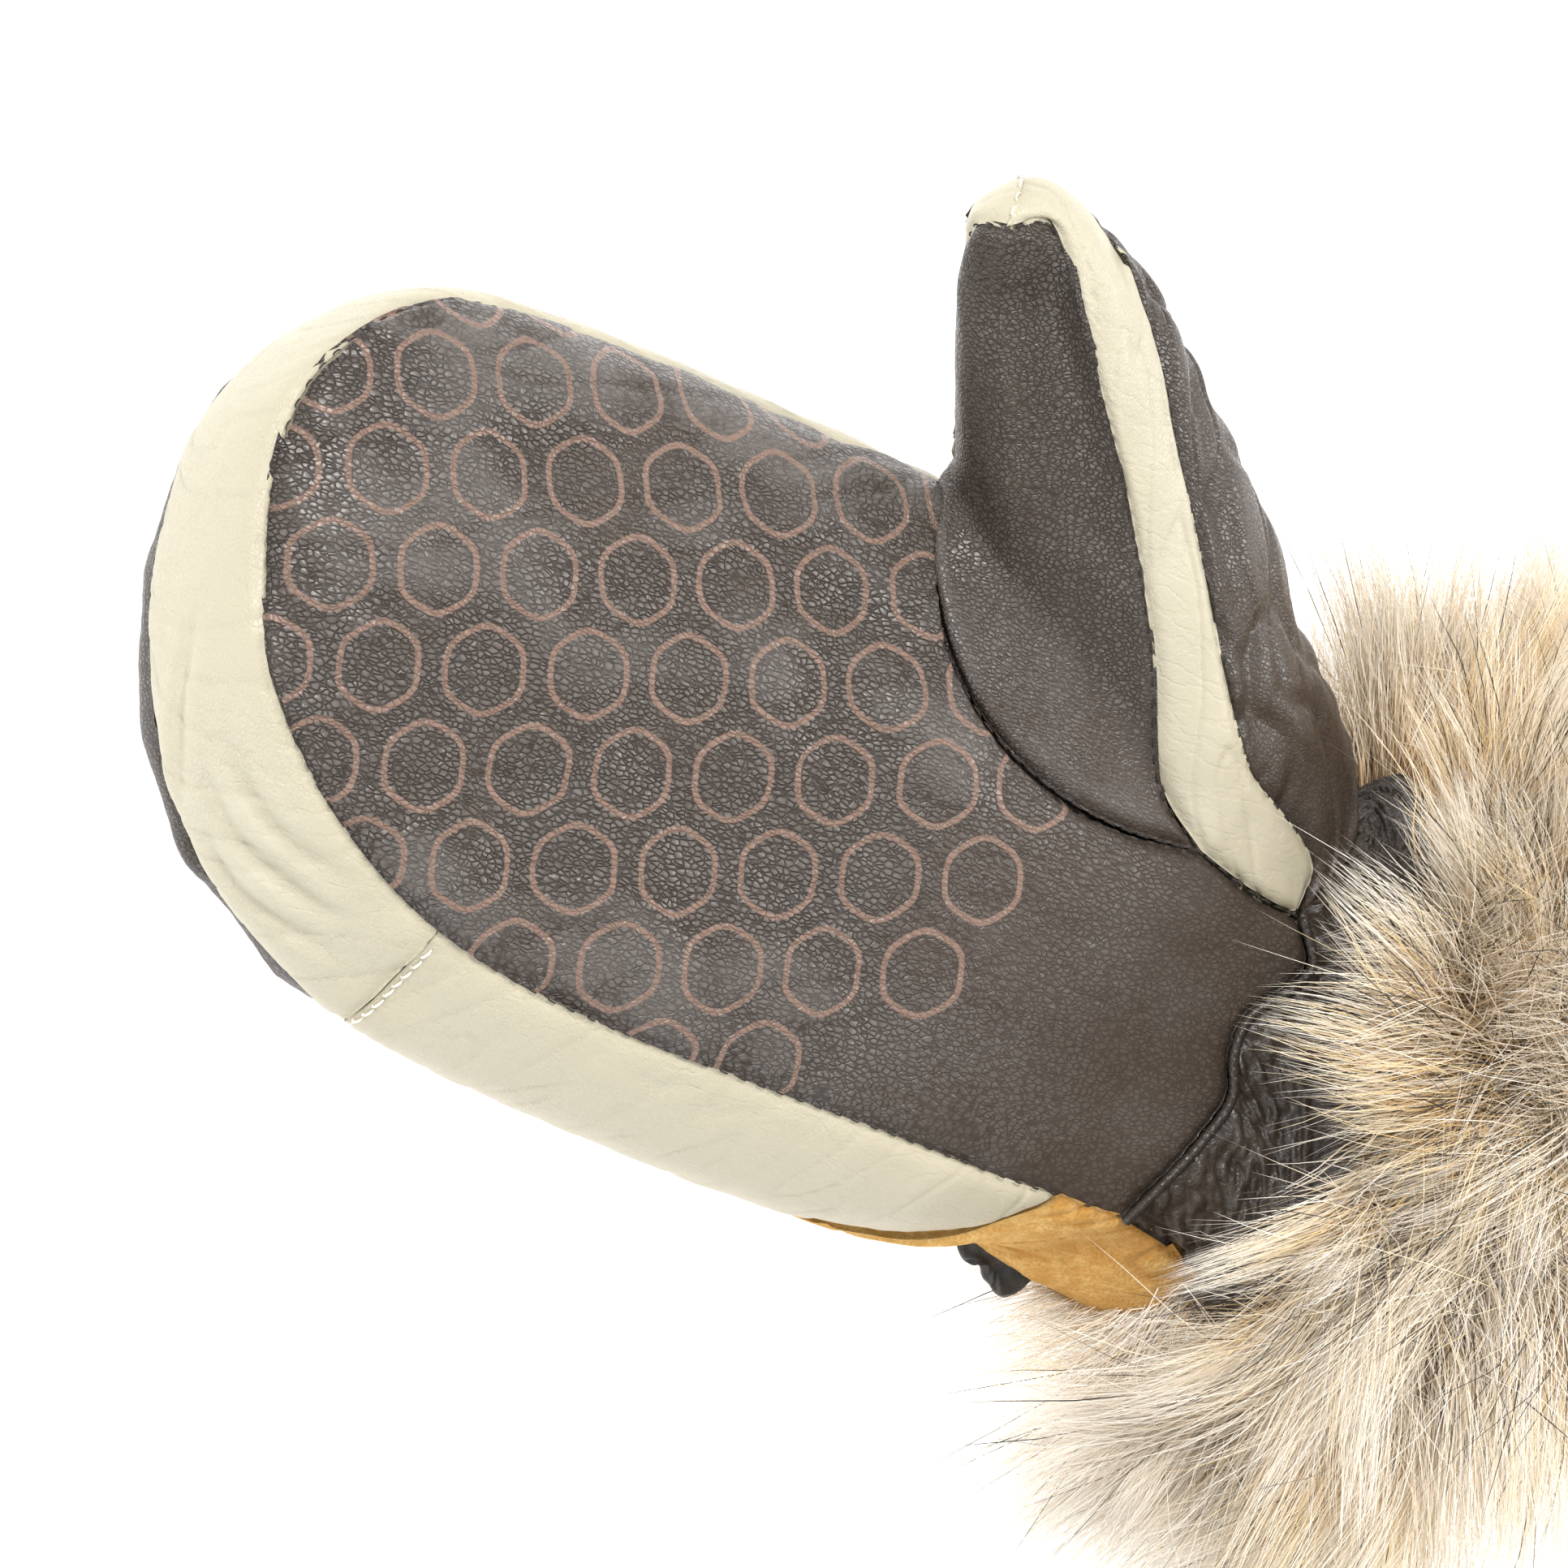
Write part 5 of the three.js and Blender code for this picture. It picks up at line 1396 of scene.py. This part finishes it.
# The two coats: strands in a quarter of the cuff, their length as a share and how uneven it is, width
# and bends, how far they root from the middle of their tuft, and how much they gather towards it
COATS = [
    {
        "strands": 6500, "least": 0.35, "most": 0.68, "uneven": 1.0, "width": 0.28, "steps": 4,
        "spread": 5.4, "gather": 0.4, "long": False, "seed": 900,
    },
    {
        "strands": 10300, "least": 0.64, "most": 1.17, "uneven": 1.25, "width": 0.17, "steps": 6,
        "spread": 3.7, "gather": 0.72, "long": True, "seed": 901,
    },
]
WRIST_ROOM = {"gather": 1.0, "suede": 17.5, "from": -5.0, "to": 150.0, "turn": 15, "fade": 16.0, "band": 40}


def lie(column, degrees):
    rows = np.array(PILE_LIE)
    return np.interp(degrees % 360, rows[:, 0], rows[:, PILE_COLUMNS.index(column)])


def column_of(values):
    """Values for each strand, ready to scale its points."""
    return values[:, None]


def band_noise(degrees, share, amount, run, turns, shift, seed):
    return amount * perlin(degrees / run, share * turns + shift, seed)


def pile_headings(y, degrees):
    """The way a strand leaves the band, and the way its end points, at places on the band."""
    share = (y - CUFF["front"]) / (CUFF["back"] - CUFF["front"])
    angle = np.radians(degrees)
    none = np.zeros_like(angle)
    out = unit(np.stack([
        -np.cos(angle) * CUFF["half_height"], none, -np.sin(angle) * CUFF["half_width"]], axis=-1))
    around = np.stack([-out[:, 2], none, out[:, 0]], axis=-1)
    out[:, 2] = np.maximum(out[:, 2], HEADING["lowest"])
    lean = lie("front", degrees) * (1 - share) + lie("back", degrees) * share
    lean = column_of(lean + band_noise(degrees, share, *LEAN_NOISE))
    swirl = column_of(band_noise(degrees, share, *SWIRL_NOISE))
    forward = np.array((0.0, 1.0, 0.0))
    start = unit(out + forward * lean * HEADING["lean"] + around * swirl * HEADING["swirl"])
    end = out * HEADING["outward"] + forward * lean + around * swirl
    end[:, 0] += lie("side", degrees)
    end[:, 2] -= lie("sag", degrees)
    return out, start, unit(end)


def swept(root, start, end, size, steps):
    """Paths that leave their roots one way and turn to another."""
    turn = smooth_step((np.arange(steps) + 0.5) / steps * HEADING["sooner"])[None, :, None]
    heading = unit(start[:, None] * (1 - turn) + end[:, None] * turn)
    path = np.cumsum(heading * (size / steps)[:, None, None], axis=1)
    return root[:, None] + np.concatenate([np.zeros_like(path[:, :1]), path], axis=1)


def tufts(number):
    """The tufts that the strands of a quarter lie in."""
    rng = np.random.default_rng(PILE["seed"] + number)
    count, wisps = PILE["clumps"], PILE["clumps"] * PILE["wisps"]
    turn = number + rng.permutation(count) / count + rng.uniform(0, 1 / count, count)
    degrees = turn * 360 / PILE["pieces"]
    y = rng.uniform(CUFF["back"] + TUFT["inside"], CUFF["front"] - TUFT["inside"], count)
    _, start, end = pile_headings(y, degrees)
    tousle = rng.normal(0, 1, (count, 3)) * column_of(lie("tousle", degrees))
    return {
        "degrees": degrees, "y": y, "root": cuff_point(y, degrees), "tousle": tousle,
        "start": unit(start + tousle * PILE["start"]), "end": unit(end + tousle),
        "size": lie("length", degrees) * rng.uniform(TUFT["short"], TUFT["long"], count),
        "wisps": rng.normal(0, TUFT["wisp"], (wisps, 3)), "waves": rng.normal(0, 1, (wisps, 3)),
        "phase": rng.uniform(0, BEND["turn"], wisps), "tint": rng.normal(0, TUFT["tint"], count),
    }


def strand_roots(tuft, owner, coat, rng):
    """Places on the band, scattered round the middle of each strand's tuft."""
    offset = rng.normal(0, coat["spread"], (len(owner), 2))
    degrees = tuft["degrees"][owner] + np.degrees(offset[:, 0] / PILE["radius"])
    y = np.clip(tuft["y"][owner] + offset[:, 1], CUFF["back"] + ROOT["back"], CUFF["front"] - ROOT["front"])
    y += np.where(y > CUFF["front"] - ROOT["near_front"], -rng.uniform(0, ROOT["spread"], len(owner)), 0)
    y += np.where(y < CUFF["back"] + ROOT["near_back"], rng.uniform(0, ROOT["spread"], len(owner)), 0)
    return y, degrees


def strands(tuft, coat, seed):
    """Strand paths of one coat, and what gives each its colour."""
    rng = np.random.default_rng(seed)
    count, steps = coat["strands"], coat["steps"]
    owner = rng.integers(0, PILE["clumps"], count)
    wisp = owner * PILE["wisps"] + rng.integers(0, PILE["wisps"], count)
    y, degrees = strand_roots(tuft, owner, coat, rng)
    guard = (rng.uniform(0, 1, count) < lie("guards", degrees)) & coat["long"]
    stray = rng.uniform(0, 1, count) < PILE["strays"]
    free = column_of(guard | stray)
    out, start, end = pile_headings(y, degrees)
    start = unit(start + tuft["tousle"][owner] * PILE["start"] + rng.normal(0, TUFT["start"], (count, 3)))
    end = end + tuft["tousle"][owner] + tuft["wisps"][wisp] + rng.normal(0, TUFT["end"], (count, 3))
    astray = rng.normal(0, 1, (count, 3)) * column_of(np.where(stray, PILE["tangled"], PILE["loose"]))
    end = end + astray * free + out * column_of(guard) * PILE["away"]
    end[:, 1] += PILE["forward"] * guard
    share = rng.uniform(0, 1, count) ** coat["uneven"]
    whole = tuft["size"][owner]
    size = whole * (coat["least"] + (coat["most"] - coat["least"]) * share)
    size = np.where(free[:, 0], size * rng.uniform(1.0, PILE["longer"], count), size)
    path = swept(cuff_point(y, degrees, -PILE["rooted"]), start, unit(end), size, steps)
    guide = swept(tuft["root"], tuft["start"], tuft["end"], tuft["size"] * coat["most"], steps)[owner]
    t = np.linspace(0, 1, steps + 1)[None, :, None]
    pull = np.where(free, PILE["follow"], coat["gather"])[..., None] * t ** BEND["late"]
    path = path + (guide - path) * pull * (size / (whole * coat["most"]))[:, None, None]
    phase = tuft["phase"][wisp][:, None, None]
    curl = np.sin(t * BEND["curl"] + phase) - np.sin(phase)
    own = rng.normal(0, BEND["own"], (count, 1, 3))
    own = own * np.sin(t * BEND["own_curl"] + rng.uniform(0, BEND["turn"], (count, 1, 1)))
    bend = (tuft["waves"][wisp][:, None] * curl + own * t) * np.where(free, BEND["free"], 1.0)[..., None]
    path = clear_of_wrist(path + bend * BEND["height"])
    rest = rng.uniform(LAID["low"], LAID["high"], (count, 1)) * t[..., 0]
    path[..., 2] = lie_on_floor(path[..., 2], rest)
    # The row's pale share is partly painted light, lightening strands round the shaded little-finger side
    tint = rng.uniform(0, TINT["random"], count) + TINT["pale"] * lie("pale", degrees)
    tint = tint + tuft["tint"][owner] - TINT["less"]
    spots = perlin(degrees / GOLDEN["around"] + GOLDEN["shift"], y / GOLDEN["along"], GOLDEN["seed"])
    spots += rng.normal(0, GOLDEN["spread"], count)
    golden = smooth_step((spots + lie("golden", degrees) - GOLDEN["edge"]) * GOLDEN["sharp"])
    width = coat["width"] * rng.uniform(BLADE["thin"], BLADE["wide"], count)
    width = width * np.where(guard, PILE["wide_guard"], 1)
    looks = {"tint": np.clip(tint, 0, 1), "golden": golden, "guard": guard.astype(float)}
    return within_room(path), out, width, looks


def clear_of_wrist(path):
    """Keeps strands that lean forward outside the wrist, where the suede stands out."""
    centre = np.array((CUFF["centre_x"], 0, CUFF["centre_z"]))
    across, _, tall = np.moveaxis((path - centre) / (CUFF["half_width"], 1, CUFF["half_height"]), -1, 0)
    ratio = np.maximum(np.hypot(across, tall), 1e-6)
    degrees = np.degrees(np.arctan2(-tall, -across))
    turn = WRIST_ROOM["turn"]
    beside = smooth_step((degrees - WRIST_ROOM["from"] + turn) / turn)
    beside *= smooth_step((WRIST_ROOM["to"] - degrees) / turn)
    ahead = smooth_step((path[..., 1] - CUFF["front"]) / WRIST_ROOM["fade"])
    room = WRIST_ROOM["gather"] + (WRIST_ROOM["suede"] - WRIST_ROOM["gather"]) * beside
    least = (1 + room / WRIST_ROOM["band"]) * ahead
    grown = (np.maximum(ratio, least) / ratio)[..., None]
    return centre + (path - centre) * np.concatenate([grown, np.ones_like(grown), grown], axis=-1)


def lie_on_floor(z, rest):
    """Heights with what would pass through the floor laid on it instead."""
    over = z - rest
    return rest + (over + np.sqrt(over**2 + LAID["soft"])) / 2 + LAID["gap"]


def within_room(path):
    """Shortens the strands that would reach too far from the cuff."""
    low, high = (np.array(corner) / METRES for corner in cad_box)
    margin = (high - low) * PILE["reach"] + PILE["proud"]
    root, reach = path[:, :1], path - path[:, :1]
    with np.errstate(divide="ignore"):
        share = np.minimum(
            np.where(reach > 0, (high + margin - root) / reach, 1),
            np.where(reach < 0, (low - margin - root) / reach, 1))
    share[..., 2] = np.where(reach[..., 2] > 0, share[..., 2], 1)
    return root + reach * np.minimum(1, share.min(axis=(1, 2)))[:, None, None]


def ribbons(path, out, width, rng):
    """Flat tapering blades along paths: points by strand, the faces of one, and places on it."""
    count, steps = path.shape[0], path.shape[1] - 1
    t = np.linspace(0, 1, steps + 1)
    facing = out[:, None] + rng.normal(0, BLADE["roll"], (count, 1, 3))
    across = unit(np.cross(np.gradient(path, axis=1), facing))
    taper = np.interp(t, BLADE["places"], BLADE["taper"])
    half = across * (width[:, None] * taper[None] / 2)[..., None]
    left, right = (path - half)[:, :steps], (path + half)[:, :steps]
    k = np.arange(steps - 1)
    bands = np.stack([k, k + steps, k + steps + 1, k + 1], axis=1)
    tip = np.array([[steps - 1, 2 * steps - 1, 2 * steps]])
    side = np.repeat((0, 1, 0.5), (steps, steps, 1))
    on_blade = {"along": np.concatenate([t[:steps], t]), "side": side}
    return np.concatenate([left, right, path[:, steps:]], axis=1), (bands, tip), on_blade


def pile_piece(number):
    """A quarter of the pile, in two coats of strands that lie in tufts and wisps."""
    tuft = tufts(number)
    points, faces = [], []
    maps = {"strand": [], "patch": [], "OFBake": []}
    total = sum(coat["strands"] for coat in COATS)
    columns = int(math.sqrt(total * CELL["tall"])) + 1
    rows = math.ceil(total / columns)
    base, first = 0, 0
    for coat in COATS:
        seed = coat["seed"] + 10 * number
        path, out, width, looks = strands(tuft, coat, seed)
        blades, shapes, on_blade = ribbons(path, out, width, np.random.default_rng(seed + 5))
        count, per = blades.shape[:2]
        points.append(blades.reshape(-1, 3))
        starts = base + np.arange(count)[:, None, None] * per
        for shape in shapes:
            faces += (starts + shape[None]).reshape(-1, shape.shape[1]).tolist()
        run, side = (np.tile(on_blade[name], count) for name in ("along", "side"))
        tint, golden, guard = (np.repeat(looks[name], per) for name in ("tint", "golden", "guard"))
        order = first + np.repeat(np.arange(count), per)
        maps["strand"].append(np.stack([tint, run], axis=1))
        maps["patch"].append(np.stack([golden, guard], axis=1))
        maps["OFBake"].append(np.stack([
            (order % columns + CELL["side"] + (1 - 2 * CELL["side"]) * side) / columns,
            (order // columns + CELL["end"] + (1 - 2 * CELL["end"]) * run) / rows,
        ], axis=1))
        base += count * per
        first += count
    maps = {name: np.vstack(places) for name, places in maps.items()}
    piece = mesh_object(f"pile_{number + 1}", np.vstack(points), faces, maps, (LOOKS["pile"],))
    placed(piece, "fur_cuff", slot="long_pile")


# The stage, the light and the camera

# The camera looks at aim from distance, with its right and up axes as in the photograph
CAMERA = {
    "aim": (0, 0, 30), "distance": 1100.0, "toward": (-0.170, 0.421, 0.891),
    "right": (0.2953, -0.8409, 0.4536), "up": (0.9402, 0.3402, 0.0186),
    "scale": 7.5, "aim_x": 850, "aim_y": 960, "frame": 1932, "sensor": 36.0,
}
# The lights: their place and size in metres, and their power in watts
LIGHTS = [
    ("key", (0.35, 0.3, 1.0), 0.45, 12.0), ("side", (0.3, -0.9, 0.8), 0.5, 7.0),
    ("fill", (-0.8, 0.6, 0.5), 0.6, 4.0),
]
LIT_POINT = (0, -0.03, 0.03)
FLOOR_REACH = 6.0


def camera():
    data = bpy.data.cameras.new("camera")
    seen = CAMERA["frame"] / CAMERA["scale"]
    data.sensor_width = CAMERA["sensor"]
    data.lens = CAMERA["sensor"] * CAMERA["distance"] / seen
    data.shift_x = (CAMERA["frame"] / 2 - CAMERA["aim_x"]) / CAMERA["frame"]
    data.shift_y = (CAMERA["aim_y"] - CAMERA["frame"] / 2) / CAMERA["frame"]
    data.dof.use_dof = False
    right, up, toward = (Vector(CAMERA[k]).normalized() for k in ("right", "up", "toward"))
    turn = Matrix((right, up, toward)).transposed()
    eye = (Vector(CAMERA["aim"]) + toward * CAMERA["distance"]) * METRES
    bpy.context.scene.camera = put("camera", data)
    bpy.context.scene.camera.matrix_world = Matrix.Translation(eye) @ turn.to_4x4()


def area_light(name, place, size, energy):
    data = bpy.data.lights.new(name, "AREA")
    data.shape, data.size, data.energy = "DISK", size, energy
    light = put(name, data)
    light.location = place
    light.rotation_mode = "QUATERNION"
    light.rotation_quaternion = (Vector(place) - Vector(LIT_POINT)).to_track_quat("Z", "Y")


def stage():
    material, _, _ = new_material(
        "floor", Roughness=0.9, Specular_IOR_Level=0.1, Base_Color=(0.9, 0.9, 0.9, 1),
        Emission_Color=(1, 1, 1, 1), Emission_Strength=0.75)
    mesh = bpy.data.meshes.new("floor")
    corners = [(x * FLOOR_REACH, y * FLOOR_REACH, 0) for x, y in ((-1, -1), (1, -1), (1, 1), (-1, 1))]
    mesh.from_pydata(corners, [], [range(len(corners))])
    mesh.materials.append(material)
    put("floor", mesh)
    world = bpy.data.worlds.new("studio")
    world.use_nodes = True
    background = world.node_tree.nodes["Background"]
    background.inputs["Color"].default_value = (1, 1, 1, 1)
    background.inputs["Strength"].default_value = 0.5
    bpy.context.scene.world = world
    for light in LIGHTS:
        area_light(*light)
    bpy.context.scene.view_settings.view_transform = "Standard"


palm_panel()
back_panel()
side_strips()
thumb_front()
thumb_strips()
thumb_back()
suede_panel()
wrist_gather()
palm_piping()
stitched_seams()
strap_tab()
cuff_band()
for quarter in range(PILE["pieces"]):
    pile_piece(quarter)
stage()
camera()
